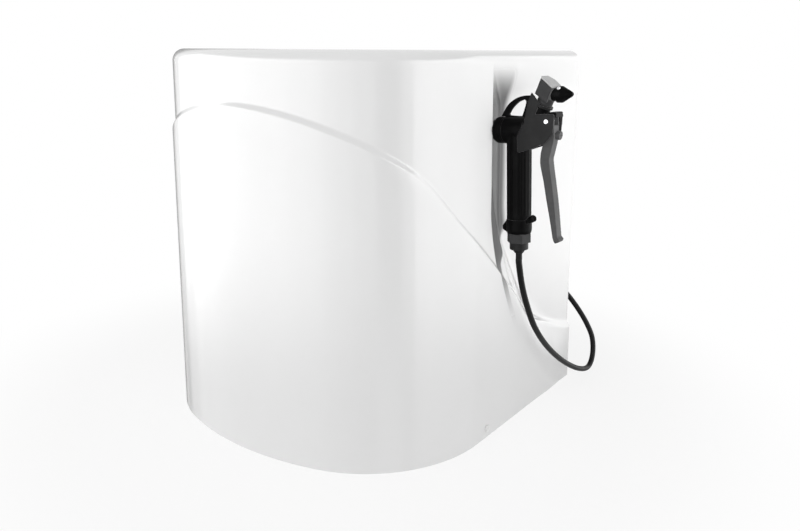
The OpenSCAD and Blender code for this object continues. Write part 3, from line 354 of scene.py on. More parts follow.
# %% How a finish is made
def finish(name, color, smooth, dull, grain_scale=900.0, bump=0.05, depth=0.0001, patch=18.0, wave=0.0,
           rubbed=None, rub_scale=40.0, rub_amount=0.15, metallic=0.0, coat=0.0, coat_rough=0.05, ior=1.5,
           transmission=0.0, material=None):
    made = material or bpy.data.materials.new(name)
    made.use_nodes = True
    tree = made.node_tree
    shader = tree.nodes["Principled BSDF"]
    skin = node(tree, "ShaderNodeGroup", node_tree=grain)
    for key, value in {"Scale": grain_scale, "Smooth": smooth, "Dull": dull, "Patch scale": patch,
                       "Wave": wave}.items():
        skin.inputs[key].default_value = value
    wear = node(tree, "ShaderNodeGroup", node_tree=rub)
    wear.inputs["Color"].default_value = (*color, 1)
    wear.inputs["Rubbed"].default_value = (*(rubbed or [min(1, 1.25 * c + 0.01) for c in color]), 1)
    wear.inputs["Scale"].default_value = rub_scale
    wear.inputs["Amount"].default_value = rub_amount
    relief = node(tree, "ShaderNodeBump", {"Strength": bump, "Distance": depth,
                                           "Height": skin.outputs["Height"]})
    tree.links.new(wear.outputs["Color"], shader.inputs["Base Color"])
    tree.links.new(skin.outputs["Roughness"], shader.inputs["Roughness"])
    tree.links.new(relief.outputs[0], shader.inputs["Normal"])
    for key, value in {"Metallic": metallic, "Coat Weight": coat, "Coat Roughness": coat_rough, "IOR": ior,
                       "Transmission Weight": transmission}.items():
        shader.inputs[key].default_value = value
    return made


FINISHES = {}
print("finish function ready")

# %% White mouldings, sheet and metal
FINISHES["cover_white"] = finish("gloss white moulding", (0.86, 0.86, 0.86), 0.16, 0.22, grain_scale=1400.0,
                                 bump=0.04, depth=0.00005, patch=9.0, wave=6.0, rubbed=(0.83, 0.83, 0.825),
                                 rub_scale=25.0, rub_amount=0.25, coat=0.35, coat_rough=0.08)
FINISHES["frame_white"] = finish("satin white moulding", (0.8, 0.8, 0.8), 0.3, 0.42, grain_scale=1100.0,
                                 bump=0.12, rub_amount=0.2)
FINISHES["painted_sheet"] = finish("grey powder coat", (0.55, 0.57, 0.58), 0.42, 0.58, grain_scale=1600.0,
                                   bump=0.35)
FINISHES["galvanised"] = finish("galvanised sheet", (0.44, 0.45, 0.46), 0.42, 0.6, grain_scale=500.0,
                                bump=0.1, patch=60.0, rubbed=(0.42, 0.43, 0.45), rub_scale=90.0,
                                rub_amount=0.5, metallic=0.1)
FINISHES["steel"] = finish("zinc-plated steel", (0.66, 0.66, 0.67), 0.22, 0.4, grain_scale=1800.0, bump=0.08,
                           patch=140.0, metallic=1.0)
FINISHES["aluminium"] = finish("machined aluminium", (0.72, 0.72, 0.73), 0.25, 0.4, grain_scale=1200.0,
                               bump=0.1, patch=90.0, metallic=1.0)
FINISHES["motor_paint"] = finish("dark enamel", (0.05, 0.055, 0.06), 0.3, 0.45, grain_scale=1500.0, bump=0.2,
                                 rub_amount=0.3)
print("finishes:", len(FINISHES))

# %% [markdown]
# The gun is dry nylon with a fine spark-eroded grain, black with a few greys. A darker colour alone doesn't
# make it dark, because pale lamps mirror in its gloss and wash it out. Nylon this dry mirrors little, so its
# index of refraction is set low as well.

# %% Plastics of the gun
NYLON_GRAIN, NYLON_PATCH = 2600.0, 60.0


def nylon(name, color, rubbed, smooth=0.36, dull=0.5, bump=0.2, rub_amount=0.3, ior=1.2):
    return finish(name, color, smooth, dull, NYLON_GRAIN, bump, patch=NYLON_PATCH, rubbed=rubbed,
                  rub_scale=70.0, rub_amount=rub_amount, ior=ior)


FINISHES["black_plastic"] = nylon("black nylon", (0.0025, 0.0025, 0.0026), (0.012, 0.012, 0.0125),
                                  smooth=0.28, dull=0.42, bump=0.18, rub_amount=0.35, ior=1.1)
FINISHES["grey_plastic"] = nylon("dark grey nylon", (0.012, 0.012, 0.0124), (0.03, 0.03, 0.031))
FINISHES["lever_grey"] = nylon("mid grey nylon", (0.072, 0.072, 0.073), (0.13, 0.13, 0.132))
FINISHES["turret_grey"] = nylon("turret grey nylon", (0.036, 0.036, 0.037), (0.07, 0.07, 0.071))
FINISHES["light_plastic"] = finish("light grey nylon", (0.45, 0.45, 0.45), 0.36, 0.5, NYLON_GRAIN, 0.15,
                                   patch=NYLON_PATCH)
FINISHES["white_plastic"] = finish("white acetal", (0.85, 0.85, 0.84), 0.25, 0.35, NYLON_GRAIN, 0.05,
                                   patch=NYLON_PATCH)
print("finishes:", len(FINISHES))

# %% Rubber, tank, bowl and tubes
FINISHES["rubber"] = finish("black rubber", (0.006, 0.006, 0.006), 0.5, 0.65, grain_scale=1800.0, bump=0.25,
                            patch=50.0, ior=1.2)
FINISHES["hose_rubber"] = finish("hose rubber", (0.004, 0.004, 0.0042), 0.36, 0.48, grain_scale=1500.0,
                                 bump=0.15, patch=40.0, rubbed=(0.01, 0.01, 0.0104), rub_scale=60.0,
                                 rub_amount=0.3, ior=1.2, material=hose_rubber)
FINISHES["tank_plastic"] = finish("natural polyethylene", (0.78, 0.8, 0.77), 0.38, 0.52, grain_scale=700.0,
                                  bump=0.1, wave=3.0)
FINISHES["bowl_clear"] = finish("clear bowl", (0.8, 0.9, 0.95), 0.05, 0.12, grain_scale=1200.0, bump=0.03,
                                transmission=1.0, ior=1.58)
FINISHES["tube_clear"] = finish("milky tube", (0.78, 0.8, 0.79), 0.25, 0.35, grain_scale=900.0, bump=0.05)
print("finishes:", len(FINISHES))

# %% [markdown]
# The cover is the main piece. Its plan has straight sides, two corner arcs and a bowed front, and its walls
# lean in by the same draft all the way up. It could be drawn by hand as a subdivision surface, but its shape
# follows rules, so it is worked out. First a plain shell of two skins is made, with the plan's values stored
# on its points. Then a Geometry Nodes tree sinks it in above the wave ledge and in the side pocket, so that
# the forms can be tuned by named inputs.

# %% Sizes of the cover, in millimetres
COVER_W, COVER_D, COVER_H, WALL = 486, 470, 500, 4
# Radii of the front, the corners and the top's roll, and the draft in degrees
FRONT_R, CORNER_R, TOP_R, DRAFT = 389, 181, 16, 1.4
# How far the ledge steps in, the height it takes, and the heights of the wave's top and foot
LEDGE, LEDGE_BLEND, WAVE_TOP, WAVE_FOOT = 4.5, 10, 438, 87
# How far in from the back edge the pocket's outline reaches, the heights of its bend and foot, and its power
POCKET_L, POCKET_BEND, POCKET_FOOT, POCKET_P = 245, 305, -35, 1.5
# Depth of the pocket, slope of its front wall in degrees, the height over which its floor sinks in, the plain
# band below that, and the fade under the top
POCKET_DEPTH, POCKET_SLOPE, POCKET_RISE, POCKET_BAND, POCKET_FADE = 16, 18.5, 75, 45, 60
# Height of the crest, how far in it reaches, and how far below and above the outline it goes
CREST, CREST_L, CREST_BELOW, CREST_ABOVE = 1.5, 215, 45, 25
TRAY_H = 28
# Share of the wave's height at even steps from the middle of the front to the back edge
WAVE_SHAPE = [1, 0.985, 0.945, 0.88, 0.78, 0.61, 0.46, 0.295, 0.145, 0.06, 0]

# %% Measures that follow from them
SHOULDER = COVER_H - TOP_R
HALF_W, BACK_Y = COVER_W / 2, COVER_D / 2
CORNER_X = HALF_W - CORNER_R
FRONT_CY = FRONT_R - COVER_D / 2
CORNER_CY = FRONT_CY - math.sqrt((FRONT_R - CORNER_R) ** 2 - CORNER_X ** 2)
CORNER_TURN = -math.degrees(math.atan2(CORNER_CY - FRONT_CY, CORNER_X))
SIDE_L = BACK_Y - CORNER_CY
FRONT_TURN = 90 - CORNER_TURN
FRONT_S, CORNER_S = FRONT_R * math.radians(FRONT_TURN), CORNER_R * math.radians(CORNER_TURN)
GIRTH = FRONT_S + CORNER_S + SIDE_L
POCKET_FALL = POCKET_BEND - POCKET_FOOT
FOOT_T = POCKET_L - POCKET_DEPTH / math.tan(math.radians(POCKET_SLOPE))
print("half girth", round(GIRTH, 1), "side", round(SIDE_L, 1), "corner turn", round(CORNER_TURN, 1))


# %% Rules of the cover's shape
def clamp01(v):
    return max(0.0, min(1.0, v))


def wave_share(u):
    last = len(WAVE_SHAPE) - 1
    q = min(1.0, u) * last
    k = int(q)
    knots = [WAVE_SHAPE[max(0, min(last, i))] for i in (k - 1 if k else 1, k, k + 1, k + 2)]
    return through(*knots, q - k)


def wave_height(s):
    """Height of the ledge at a distance round the plan from the middle of the front."""
    return WAVE_FOOT + (WAVE_TOP - WAVE_FOOT) * wave_share(s / GIRTH)


def edge_height(t):
    """Height of the pocket's outline at a distance in from the back edge."""
    return POCKET_BEND - POCKET_FALL * (1 - clamp01(t / POCKET_L) ** POCKET_P) ** (1 / POCKET_P)


def edge_in(z):
    """Distance of the pocket's outline from the back edge at a height."""
    return POCKET_L * (1 - clamp01((POCKET_BEND - z) / POCKET_FALL) ** POCKET_P) ** (1 / POCKET_P)


print("wave at the back", round(wave_height(GIRTH), 1), "outline at the back", round(edge_height(0), 1))

# %% Stations round the plan
CORNER_STEPS, FRONT_STEPS, LEFT_STEPS = 36, 18, 14
# Along the right side, the first stations, then spans as (from, to, number), closest at the wall's two ends
EDGE_STATIONS = [0, 1.5, WALL]
SIDE_SPANS = [(8, 190, 30), (FOOT_T - 4, FOOT_T + 4, 5), (FOOT_T + 8, POCKET_L - 6, 7),
              (POCKET_L - 3, POCKET_L + 3, 5), (POCKET_L + 8, SIDE_L, 5)]


def half(side, sign):
    """Stations of the right half, where the sign is 1, or of the left half, where it is -1.

    Each is (middle of the arc, direction, radius, distance from the front's middle, distance in from the back
    edge, or -1 off the right side)."""
    right = sign > 0
    out = []
    for t in side:
        out.append(((sign * CORNER_X, BACK_Y - t), 0 if right else 180, CORNER_R, GIRTH - t,
                    t if right else -1))
    for a in np.linspace(0, CORNER_TURN, CORNER_STEPS + 1)[1:]:
        out.append(((sign * CORNER_X, CORNER_CY), -a if right else a - 180, CORNER_R,
                    GIRTH - SIDE_L - CORNER_R * math.radians(a), -1))
    for a in np.linspace(0, FRONT_TURN, FRONT_STEPS + 1)[1:]:
        out.append(((0, FRONT_CY), -CORNER_TURN - a if right else CORNER_TURN + a - 180, FRONT_R,
                    FRONT_S - FRONT_R * math.radians(a), -1))
    return out


side_stations = sorted({*EDGE_STATIONS, *(t for span in SIDE_SPANS for t in np.linspace(*span))})
plan = half(side_stations, 1) + half(np.linspace(0, SIDE_L, LEFT_STEPS), -1)[-2::-1]
print("stations:", len(plan))

# %% Points of the two skins
ROWS_BELOW, ROWS_LEDGE, ROWS_ABOVE, ROWS_ROLL = 24, 9, 86, 12


def rows(s):
    """Heights of the rows up to the shoulder, closest at the ledge."""
    wave = wave_height(s)
    low, high = wave - LEDGE_BLEND / 2, wave + LEDGE_BLEND / 2
    return (list(np.linspace(0, low, ROWS_BELOW)) + list(np.linspace(low, high, ROWS_LEDGE))[1:]
            + list(np.linspace(high, SHOULDER, ROWS_ABOVE))[1:])


points, inward, marks = [], [], []
for skin in (0, WALL):
    for middle, turn, radius, s, t in plan:
        out = np.array([math.cos(math.radians(turn)), math.sin(math.radians(turn))])
        heights = [(z, 0.0) for z in rows(s)]
        roll_r = TOP_R - skin
        for k in range(1, ROWS_ROLL + 1):
            a = math.radians(90 * k / ROWS_ROLL)
            heights.append((SHOULDER + roll_r * math.sin(a), roll_r * (1 - math.cos(a))))
        for z, roll in heights:
            inset = min(z, SHOULDER) * math.tan(math.radians(DRAFT)) + roll + skin
            xy = np.array(middle) + (radius - inset) * out
            points.append((xy[0] * MM, xy[1] * MM, z * MM))
            inward.append((-out[0], -out[1], 0))
            marks.append((wave_height(s), t, edge_height(t) if t >= 0 else 0, edge_in(z), min(z, SHOULDER)))
count, tall = len(plan), len(rows(0)) + ROWS_ROLL
print("points of the two skins:", len(points))

# %% Faces of the two skins and of their edges
inner = count * tall
faces = []
for i in range(count - 1):
    for j in range(tall - 1):
        a, b = i * tall + j, (i + 1) * tall + j
        faces.append((a, b, b + 1, a + 1))
        faces.append((inner + a, inner + a + 1, inner + b + 1, inner + b))
    a, b = i * tall, (i + 1) * tall
    faces.append((b, a, inner + a, inner + b))
last = (count - 1) * tall
for j in range(tall - 1):
    faces.append((j, j + 1, inner + j + 1, inner + j))
    faces.append((last + j + 1, last + j, inner + last + j, inner + last + j + 1))
print("faces of the skins:", len(faces))

# %% Top of the two skins
# The top is closed by rings that shrink to a point
SHRINK = [0.75, 0.5, 0.25]
ring = [[start + i * tall + tall - 1 for i in range(count)] for start in (0, inner)]
for side in (0, 1):
    before = ring[side]
    for share_in in SHRINK:
        after = []
        for i in range(count):
            x, y, z = points[ring[side][i]]
            after.append(len(points))
            points.append((x * share_in, y * share_in, z))
            inward.append(tuple(share_in * v for v in inward[ring[side][i]]))
            marks.append(marks[ring[side][i]])
        for i in range(count):
            a, b, c, d = before[i], before[(i + 1) % count], after[(i + 1) % count], after[i]
            faces.append((a, b, c, d) if side == 0 else (d, c, b, a))
        before = after
    centre = len(points)
    points.append((0, 0, points[before[0]][2]))
    inward.append((0, 0, 0))
    marks.append(marks[before[0]])
    for i in range(count):
        a, b = before[i], before[(i + 1) % count]
        faces.append((a, b, centre) if side == 0 else (b, a, centre))
faces.append((tall - 1, last + tall - 1, inner + last + tall - 1, inner + tall - 1))
print("faces with the top:", len(faces))

# %% Plain shell with its stored values
MARKS = ("wave height", "in from back", "outline height", "outline in", "height")
shell_mesh = mesh_of("cover plain", points, faces)
inward_mark = shell_mesh.attributes.new("inward", "FLOAT_VECTOR", "POINT")
inward_mark.data.foreach_set("vector", np.array(inward, np.float32).ravel())
for k, label in enumerate(MARKS):
    values = np.array([m[k] for m in marks], np.float32)
    shell_mesh.attributes.new(label, "FLOAT", "POINT").data.foreach_set("value", values)
print("cover shell:", count, "stations,", tall, "rows,", len(faces), "faces")

# %% [markdown]
# The tree reads the stored values. The ledge is one smooth step of a few millimetres at the wave's height.
# The pocket could be cut with a boolean, but that leaves a hard edge. Here it is the lesser of two surfaces:
# a sloping wall that starts at the outline, and a floor that sinks slowly from the back edge, with a soft
# join. A low crest runs along the outline's foot.

# %% Tree that sinks the ledge and the pocket
tree, into, out = geometry_tree("ledge and pocket", [
    ("Ledge", "NodeSocketFloat", LEDGE), ("Ledge blend", "NodeSocketFloat", LEDGE_BLEND),
    ("Pocket depth", "NodeSocketFloat", POCKET_DEPTH), ("Pocket slope", "NodeSocketFloat", 0.33),
    ("Pocket rise", "NodeSocketFloat", POCKET_RISE), ("Plain band", "NodeSocketFloat", POCKET_BAND),
    ("Top fade", "NodeSocketFloat", POCKET_FADE), ("Crest", "NodeSocketFloat", CREST)])


def stored(label, kind="FLOAT"):
    return node(tree, "GeometryNodeInputNamedAttribute", {"Name": label}, data_type=kind).outputs["Attribute"]


def sums(operation, *values):
    return calc(tree, operation, *values)


def step(value, low, high):
    return eased(tree, value, low, high)


height, wave, t_in = stored("height"), stored("wave height"), stored("in from back")
outline_z, outline_t = stored("outline height"), stored("outline in")
half_blend = sums("DIVIDE", into.outputs["Ledge blend"], 2.0)
ledge_in = sums("MULTIPLY", into.outputs["Ledge"],
                step(height, sums("SUBTRACT", wave, half_blend), sums("ADD", wave, half_blend)))
print("ledge in the tree")

# %% Pocket in the tree
TRAY_CLEAR, POCKET_JOIN, HAIR = 4.0, 2.5, 0.001
floor_from = sums("MAXIMUM", TRAY_H + TRAY_CLEAR, sums("ADD", outline_z, into.outputs["Plain band"]))
floor_full = sums("ADD", floor_from, into.outputs["Pocket rise"])
fade_from = sums("SUBTRACT", float(SHOULDER), into.outputs["Top fade"])
sunk = sums("MULTIPLY", step(height, floor_from, floor_full),
            sums("SUBTRACT", 1.0, step(height, fade_from, float(SHOULDER))))
away = sums("DIVIDE", sums("SUBTRACT", t_in, float(WALL)), FOOT_T - WALL)
floor_in = sums("MULTIPLY", sums("MULTIPLY", into.outputs["Pocket depth"], away), sunk)
wall_in = sums("MULTIPLY", into.outputs["Pocket slope"], sums("SUBTRACT", outline_t, t_in))
above = sums("SUBTRACT", height, outline_z)
crest_up = sums("MAXIMUM", 0.0, sums("SUBTRACT", 1.0, sums("DIVIDE", above, float(CREST_ABOVE))))
crest_down = sums("MAXIMUM", 0.0, sums("ADD", 1.0, sums("DIVIDE", above, float(CREST_BELOW))))
crest_round = step(sums("MINIMUM", crest_up, crest_down), 0.0, 1.0)
crest_in = sums("MULTIPLY", sums("MULTIPLY", into.outputs["Crest"], crest_round),
                sums("MAXIMUM", 0.0, sums("SUBTRACT", 1.0, sums("DIVIDE", t_in, float(CREST_L)))))
scooped = sums("MAXIMUM", 0.0, sums("SMOOTH_MIN", wall_in, floor_in, POCKET_JOIN))
pocket_in = sums("SUBTRACT", scooped, crest_in)
# Only points of the right side store a distance of 0 or more, and the pocket ends at its outline's reach
on_side = sums("MULTIPLY", sums("COMPARE", sums("MAXIMUM", t_in, 0.0), t_in, HAIR),
               sums("LESS_THAN", t_in, POCKET_L + HAIR))
inset = sums("MULTIPLY", sums("ADD", ledge_in, sums("MULTIPLY", pocket_in, on_side)), MM)
push = node(tree, "ShaderNodeVectorMath", {0: stored("inward", "FLOAT_VECTOR")}, operation="SCALE")
tree.links.new(inset, push.inputs["Scale"])
sunken = node(tree, "GeometryNodeSetPosition",
              {"Geometry": into.outputs["Geometry"], "Offset": push.outputs[0]})
soft = node(tree, "GeometryNodeSetShadeSmooth", {"Geometry": sunken.outputs[0]})
finish_tree(tree, soft.outputs[0], FINISHES["cover_white"], out)
print("pocket in the tree")

# %% Cover
SHARP = math.radians(40)
cover = grow(new_object("cover plain", shell_mesh), tree,
             {"Pocket slope": math.tan(math.radians(POCKET_SLOPE))}, "moulded_cover")
for label in ("inward", *MARKS):
    cover.data.attributes.remove(cover.data.attributes[label])
edges_mesh = bmesh.new()
edges_mesh.from_mesh(cover.data)
open_edges = sum(1 for e in edges_mesh.edges if not e.is_manifold)
for edge in edges_mesh.edges:
    edge.smooth = edge.calc_face_angle(0) < SHARP
edges_mesh.to_mesh(cover.data)
edges_mesh.free()
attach(cover, "station")
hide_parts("cover")
cover_low, cover_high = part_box("cover")
print("cover triangles", triangles(cover), "open edges", open_edges)
print("box of its solid", rounded(cover_low), rounded(cover_high))

# %% [markdown]
# The pocket's front wall is a dark graded stripe, deepest at its sharp front edge. It is shade, and a dark
# card could put it there as a reflection, but only for one view. So it is painted shade in the cover's base
# colour, which stays where it is from every side. Object coordinates give each point's height, the outline's
# rule gives its distance from the pocket's edge, and the stripe is matt, because a wall seen this flat would
# otherwise mirror the white room.

# %% Distance behind the pocket's outline
cover_tree = FINISHES["cover_white"].node_tree
cover_shader = cover_tree.nodes["Principled BSDF"]


def shade_math(operation, *values, clamp=False):
    return calc(cover_tree, operation, *values, clamp=clamp)


def shade_step(value, low, high, start=0.0, end=1.0):
    return eased(cover_tree, value, low, high, start, end)


spot = node(cover_tree, "ShaderNodeSeparateXYZ", {0: node(cover_tree, "ShaderNodeTexCoord").outputs["Object"]})
below_bend = shade_math("SUBTRACT", POCKET_BEND * MM, spot.outputs["Z"])
fall = shade_math("DIVIDE", below_bend, POCKET_FALL * MM, clamp=True)
share = shade_math("POWER", shade_math("SUBTRACT", 1.0, shade_math("POWER", fall, POCKET_P)), 1 / POCKET_P)
outline_y = shade_math("SUBTRACT", BACK_Y * MM, shade_math("MULTIPLY", share, POCKET_L * MM))
behind = shade_math("SUBTRACT", spot.outputs["Y"], outline_y)
print("outline of the tint ready")

# %% Painted shade on the pocket's wall
# Widths of the stripe low down and high up, and the heights between which it widens, in metres
SHADE_NARROW, SHADE_W, SHADE_LOW, SHADE_HIGH = 0.012, 0.064, 0.228, 0.282
# Where it starts behind the outline, in metres, and where it ends, as shares of its width
SHADE_START, SHADE_END = (-0.0005, 0.0012), (0.8, 1.06)
# Heights over which it comes in at its foot and fades at its top, and how far right it begins, in metres
SHADE_FOOT, SHADE_TOP, SHADE_X = (0.13, 0.25), (0.435, 0.49), 0.15
# Colours of the painted shade, darkest at the wall's front edge and paler towards its floor, the share across
# at which it is palest, and the stripe's roughness
SHADE_DEEP, SHADE_PALE, SHADE_PALE_FROM, MATT = (0.02, 0.02, 0.0205, 1), (0.055, 0.055, 0.056, 1), 0.9, 1.0
reach = shade_step(spot.outputs["Z"], SHADE_LOW, SHADE_HIGH, SHADE_NARROW, SHADE_W)
across = shade_math("DIVIDE", behind, reach)
shade_across = shade_math("MULTIPLY", shade_step(behind, *SHADE_START), shade_step(across, *SHADE_END, 1.0, 0.0))
shade_ends = shade_math("MULTIPLY", shade_step(spot.outputs["Z"], *SHADE_FOOT),
                      shade_step(spot.outputs["Z"], *SHADE_TOP, 1.0, 0.0))
on_right = shade_math("GREATER_THAN", spot.outputs["X"], SHADE_X)
painted_shade = shade_math("MULTIPLY", shade_across, shade_math("MULTIPLY", shade_ends, on_right))
# Painted shade: the base colour is darkened here to stand in for the shade on the pocket's front wall
shade_grade = node(cover_tree, "ShaderNodeMix",
             {"Factor": shade_step(across, 0.0, SHADE_PALE_FROM), COLOR_A: SHADE_DEEP, COLOR_B: SHADE_PALE}, data_type="RGBA")
plain_color = cover_shader.inputs["Base Color"].links[0].from_socket
shaded_color = node(cover_tree, "ShaderNodeMix",
              {"Factor": painted_shade, COLOR_A: plain_color, COLOR_B: shade_grade.outputs[COLOR_OUT]}, data_type="RGBA")
cover_tree.links.new(shaded_color.outputs[COLOR_OUT], cover_shader.inputs["Base Color"])
plain_roughness = cover_shader.inputs["Roughness"].links[0].from_socket
dulled = node(cover_tree, "ShaderNodeMix", {"Factor": painted_shade, NUMBER_A: plain_roughness, NUMBER_B: MATT})
cover_tree.links.new(dulled.outputs[NUMBER_OUT], cover_shader.inputs["Roughness"])
print("tint width", SHADE_W, "m high up and", SHADE_NARROW, "m low down")

# %% [markdown]
# A moulded nylon part has no sharp edge. A bevel on each edge would need clean faces, which a CAD mesh
# doesn't have. So each visible part of the gun is a copy of its solid, joined up, remeshed in a fine even net
# and relaxed a little, which rounds every edge by about half a millimetre as a mould does. The gun's parts
# stay out of the gloss of the cover beside them.

# %% Rounded copies
DOUBLES, EASE = 1e-6, 0.5


def moulded(solid, name, look, body, voxel, relax):
    """A rounded copy of a solid, in its finish, riding on its body."""
    copy = bmesh.new()
    copy.from_mesh(frame["nodes"][solid].data)
    bmesh.ops.remove_doubles(copy, verts=copy.verts, dist=DOUBLES)
    mesh = bpy.data.meshes.new(name)
    copy.to_mesh(mesh)
    copy.free()
    made = new_object(name, mesh)
    net = made.modifiers.new("net", "REMESH")
    net.mode, net.voxel_size, net.use_smooth_shade = "VOXEL", voxel * MM, True
    ease = made.modifiers.new("ease", "SMOOTH")
    ease.factor, ease.iterations = EASE, relax
    result = bpy.data.meshes.new_from_object(made.evaluated_get(bpy.context.evaluated_depsgraph_get()))
    bpy.data.objects.remove(made)
    result.name = name
    made = new_object(name, result)
    made.data.materials.clear()
    made.data.materials.append(FINISHES[look])
    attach(made, body)
    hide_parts(solid)
    made.visible_glossy = False
    print(name, "triangles", triangles(made))


# %% Moulded parts
# Solid, new name, finish, body, size of the net in millimetres, and passes of relaxing
MOULDED = [
    ("gun_body", "grip_and_valve_housing", "black_plastic", "gun", 0.75, 4),
    ("valve_cap", "rear_cap", "black_plastic", "gun", 0.5, 4),
    ("cheek_plates", "side_plates", "grey_plastic", "gun", 0.5, 3),
    ("pivot_pin", "lever_pin", "aluminium", "gun", 0.3, 3),
    ("lever", "squeeze_lever", "lever_grey", "lever", 0.6, 5),
    ("adjuster", "adjusting_screw", "lever_grey", "adjuster", 0.3, 3),
    ("neck_ring", "swivel_ring", "grey_plastic", "gun", 0.35, 2),
    ("turret", "turret_block", "turret_grey", "spray_head", 0.5, 5),
    ("turret_cap", "turret_lid", "light_plastic", "spray_head", 0.4, 3),
    ("nozzle", "nozzle_cone", "black_plastic", "spray_head", 0.4, 3),
    ("nozzle_screw", "small_screw", "steel", "spray_head", 0.2, 2),
    ("collar", "grip_collar", "black_plastic", "gun", 0.5, 4),
    ("flow_knob", "side_knob", "black_plastic", "flow_knob", 0.3, 3),
    ("union_nut", "hex_union", "turret_grey", "gun", 0.4, 3),
    ("gland_nut", "hose_gland", "grey_plastic", "gun", 0.45, 4),
    ("strain_relief", "hose_sleeve", "rubber", "gun", 0.4, 3),
    ("gun_holder", "holder_peg", "black_plastic", "station", 0.5, 3),
]
for row in MOULDED:
    moulded(*row)
for solid in ("valve_stem", "valve_spring", "stem_seal"):
    frame["nodes"][solid].visible_glossy = False
print("moulded parts:", len(MOULDED))

# %% [markdown]
# The other solids keep their CAD shape: sheet metal, tank, pump and lines are cut, rolled or blown parts
# whose shape the solids already give. A remesh would only blur their bends, so they just take their finishes
# here.

# %% Finishes of the solids that stay
STAY = {
    "frame_white": ["cover_frame"],
    "painted_sheet": ["back_plate", "base_tray"],
    "galvanised": ["wall_rails", "tank_brackets", "filter_bracket", "pump_base"],
    "tank_plastic": ["tank"],
    "black_plastic": ["tank_cap", "filter_head", "power_inlet", "outlet_nut", "outlet_elbow", "pump_head"],
    "bowl_clear": ["filter_bowl"],
    "rubber": ["pump_feet", "stem_seal"],
    "motor_paint": ["motor_case"],
    "white_plastic": ["side_screws"],
    "steel": ["motor_rotor", "valve_stem", "valve_spring", "cover_screws", "frame_screws", "pump_screws"],
    "tube_clear": ["suction_tube", "feed_tube", "pressure_tube"],
}
for slot_name, solids in STAY.items():
    for solid in solids:
        mesh = frame["nodes"][solid].data
        mesh.materials.clear()
        mesh.materials.append(FINISHES[slot_name])
print("solids kept:", sum(len(v) for v in STAY.values()))

# %% [markdown]
# The floor is a sheet of white paper. It could be lit until it is white, but then the object would be too
# bright. So it shows its own white to the camera alone, less of it close to the object, where its soft shadow
# stays. The world is white to the camera, in gloss and through clear pieces, and gives a weaker light to the
# rest.

# %% Floor
FLOOR_HALF = 12.0
# Share of plain white under the object, and the distances from its middle over which it becomes all white
PAPER_GLOW, GLOW_FROM, GLOW_FULL = 0.78, 0.38, 0.7
floor_corners = [(FLOOR_HALF * x, FLOOR_HALF * y, 0) for x, y in ((-1, -1), (1, -1), (1, 1), (-1, 1))]
floor = new_object("floor", mesh_of("floor", floor_corners, [(0, 1, 2, 3)]))
paper = bpy.data.materials.new("white paper")
paper.use_nodes = True
paper_tree = paper.node_tree
paper_shader = paper_tree.nodes["Principled BSDF"]
paper_shader.inputs["Base Color"].default_value = (0.9, 0.9, 0.9, 1)
paper_shader.inputs["Roughness"].default_value = 0.9
rays = node(paper_tree, "ShaderNodeLightPath")
glow = node(paper_tree, "ShaderNodeEmission", {"Strength": 1.0})
paper_spot = node(paper_tree, "ShaderNodeTexCoord").outputs["Object"]
away = node(paper_tree, "ShaderNodeVectorMath", {0: paper_spot}, operation="LENGTH").outputs["Value"]
paper_glow = eased(paper_tree, away, GLOW_FROM, GLOW_FULL, PAPER_GLOW)
shown = calc(paper_tree, "MULTIPLY", rays.outputs["Is Camera Ray"], paper_glow)
blend_paper = node(paper_tree, "ShaderNodeMixShader",
                   {0: shown, 1: paper_shader.outputs[0], 2: glow.outputs[0]})
paper_tree.links.new(blend_paper.outputs[0], paper_tree.nodes["Material Output"].inputs["Surface"])
floor.data.materials.append(paper)
floor.visible_glossy = False
print("floor ready")

# %% World
WORLD_LEVEL = 0.6
world = bpy.data.worlds.new("studio")
scene.world = world
world.use_nodes = True
world_tree = world.node_tree
world_rays = node(world_tree, "ShaderNodeLightPath").outputs
seen = calc(world_tree, "ADD", world_rays["Is Camera Ray"], world_rays["Is Glossy Ray"])
seen = calc(world_tree, "ADD", seen, world_rays["Is Transmission Ray"], clamp=True)
level = node(world_tree, "ShaderNodeMapRange", {"Value": seen, "To Min": WORLD_LEVEL, "To Max": 1.0})
backdrop = world_tree.nodes["Background"]
backdrop.inputs["Color"].default_value = (1, 1, 1, 1)
world_tree.links.new(level.outputs["Result"], backdrop.inputs["Strength"])
print("world ready")

# %% [markdown]
# The light is a plain studio: one large soft lamp in front, a weaker one to the right and one above. The
# cover's gloss shows what stands round it, and more lamps could draw its bands, but they would light the
# white too far. So tall cards stand round it that only reflections see, with a dark flag behind and one at
# the left.

# %% Lamps
CENTRE = Vector((0, 0, 0.25))


def direction(azimuth, elevation=0.0):
    """A unit vector; azimuth 0 is straight in front of the cover and 90 is to its right."""
    a, e = math.radians(azimuth), math.radians(elevation)
    return Vector((math.sin(a) * math.cos(e), -math.cos(a) * math.cos(e), math.sin(e)))


def lamp(name, azimuth, elevation, distance, width, height, radiance):
    """A soft lamp that faces the cover. Radiance 1 looks plain white."""
    light = bpy.data.lights.new(name, "AREA")
    light.shape, light.size, light.size_y = "RECTANGLE", width, height
    light.energy = radiance * math.pi * width * height
    made = bpy.data.objects.new(name, light)
    scene.collection.objects.link(made)
    away = direction(azimuth, elevation)
    made.location = CENTRE + away * distance
    made.rotation_mode = "QUATERNION"
    made.rotation_quaternion = away.to_track_quat("Z", "Y")
    made.visible_camera = False
    made.visible_glossy = False


# Name, azimuth, elevation, distance, width, height and radiance
LAMPS = [("key lamp", -10, 25, 3.0, 3.0, 2.4, 0.47), ("right lamp", 62, 20, 3.0, 3.0, 2.4, 0.3),
         ("top lamp", 20, 80, 2.8, 2.4, 2.4, 0.55)]
for row in LAMPS:
    lamp(*row)
print("lamps:", len(LAMPS))

# %% Reflection cards
CARD_DISTANCE, CARD_STEPS = 3.0, 12


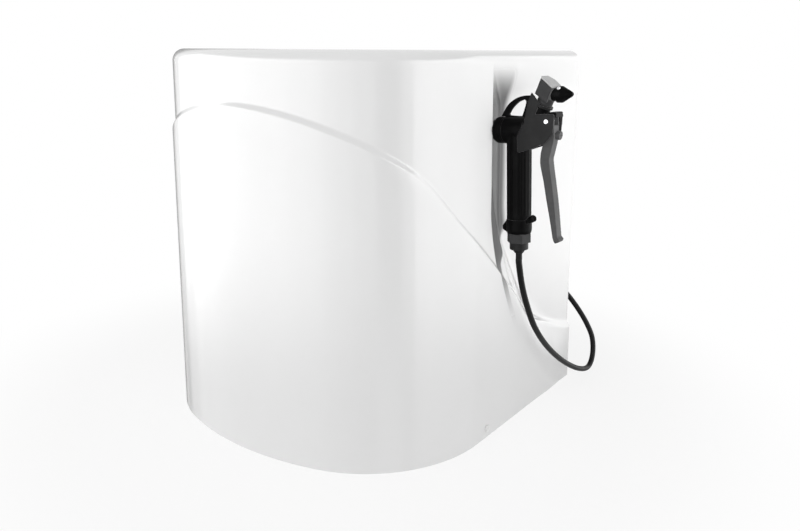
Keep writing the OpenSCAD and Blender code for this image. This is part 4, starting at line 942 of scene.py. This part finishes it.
def card(name, from_azimuth, to_azimuth, bottom, top, strength, fade=None):
    """An upright card seen only in reflections, from one azimuth to the other.

    The fade is (height at which it starts, height at which it is full, share of the strength below)."""
    card_points, card_faces = [], []
    for k in range(CARD_STEPS + 1):
        away = direction(from_azimuth + (to_azimuth - from_azimuth) * k / CARD_STEPS) * CARD_DISTANCE
        card_points += [(away.x, away.y, bottom), (away.x, away.y, top)]
    for k in range(CARD_STEPS):
        card_faces.append((2 * k, 2 * k + 2, 2 * k + 3, 2 * k + 1))
    made = new_object(name, mesh_of(name, card_points, card_faces))
    paint = bpy.data.materials.new(name)
    paint.use_nodes = True
    card_tree = paint.node_tree
    card_tree.nodes.remove(card_tree.nodes["Principled BSDF"])
    light = node(card_tree, "ShaderNodeEmission", {"Strength": strength})
    if fade is not None:
        spot = node(card_tree, "ShaderNodeTexCoord").outputs["Object"]
        up = node(card_tree, "ShaderNodeSeparateXYZ", {0: spot}).outputs["Z"]
        card_tree.links.new(eased(card_tree, up, fade[0], fade[1], fade[2] * strength, strength),
                            light.inputs["Strength"])
    card_tree.links.new(light.outputs[0], card_tree.nodes["Material Output"].inputs["Surface"])
    made.data.materials.append(paint)
    made.visible_camera = made.visible_diffuse = made.visible_shadow = made.visible_transmission = False


# Azimuths from and to, and strength
CARDS = [(-100, -88, 1.2), (-88, -76, 2.8), (-76, -64, 4.2), (-64, -16, 4.6), (-16, -6, 4.1), (-6, 4, 3.7),
         (4, 14, 3.0), (14, 28, 2.5), (28, 46, 1.9), (66, 76, 2.2), (76, 86, 4.2), (86, 108, 4.6),
         (108, 120, 4.5), (120, 130, 4.4), (130, 140, 4.1), (140, 149, 3.6), (149, 165, 2.7)]
CARD_BOTTOM, CARD_TOP, CARD_FADE = -1.6, 2.2, (-1.2, -0.2, 0.3)
for from_azimuth, to_azimuth, strength in CARDS:
    card("card %d" % from_azimuth, from_azimuth, to_azimuth, CARD_BOTTOM, CARD_TOP, strength, CARD_FADE)
card("back flag", 168, 215, CARD_BOTTOM, 0.2, 0.0)
card("left flag", -130, -104, CARD_BOTTOM, 1.6, 0.2)
print("cards:", len(CARDS), "and 2 flags")

scene.view_settings.view_transform = "Standard"
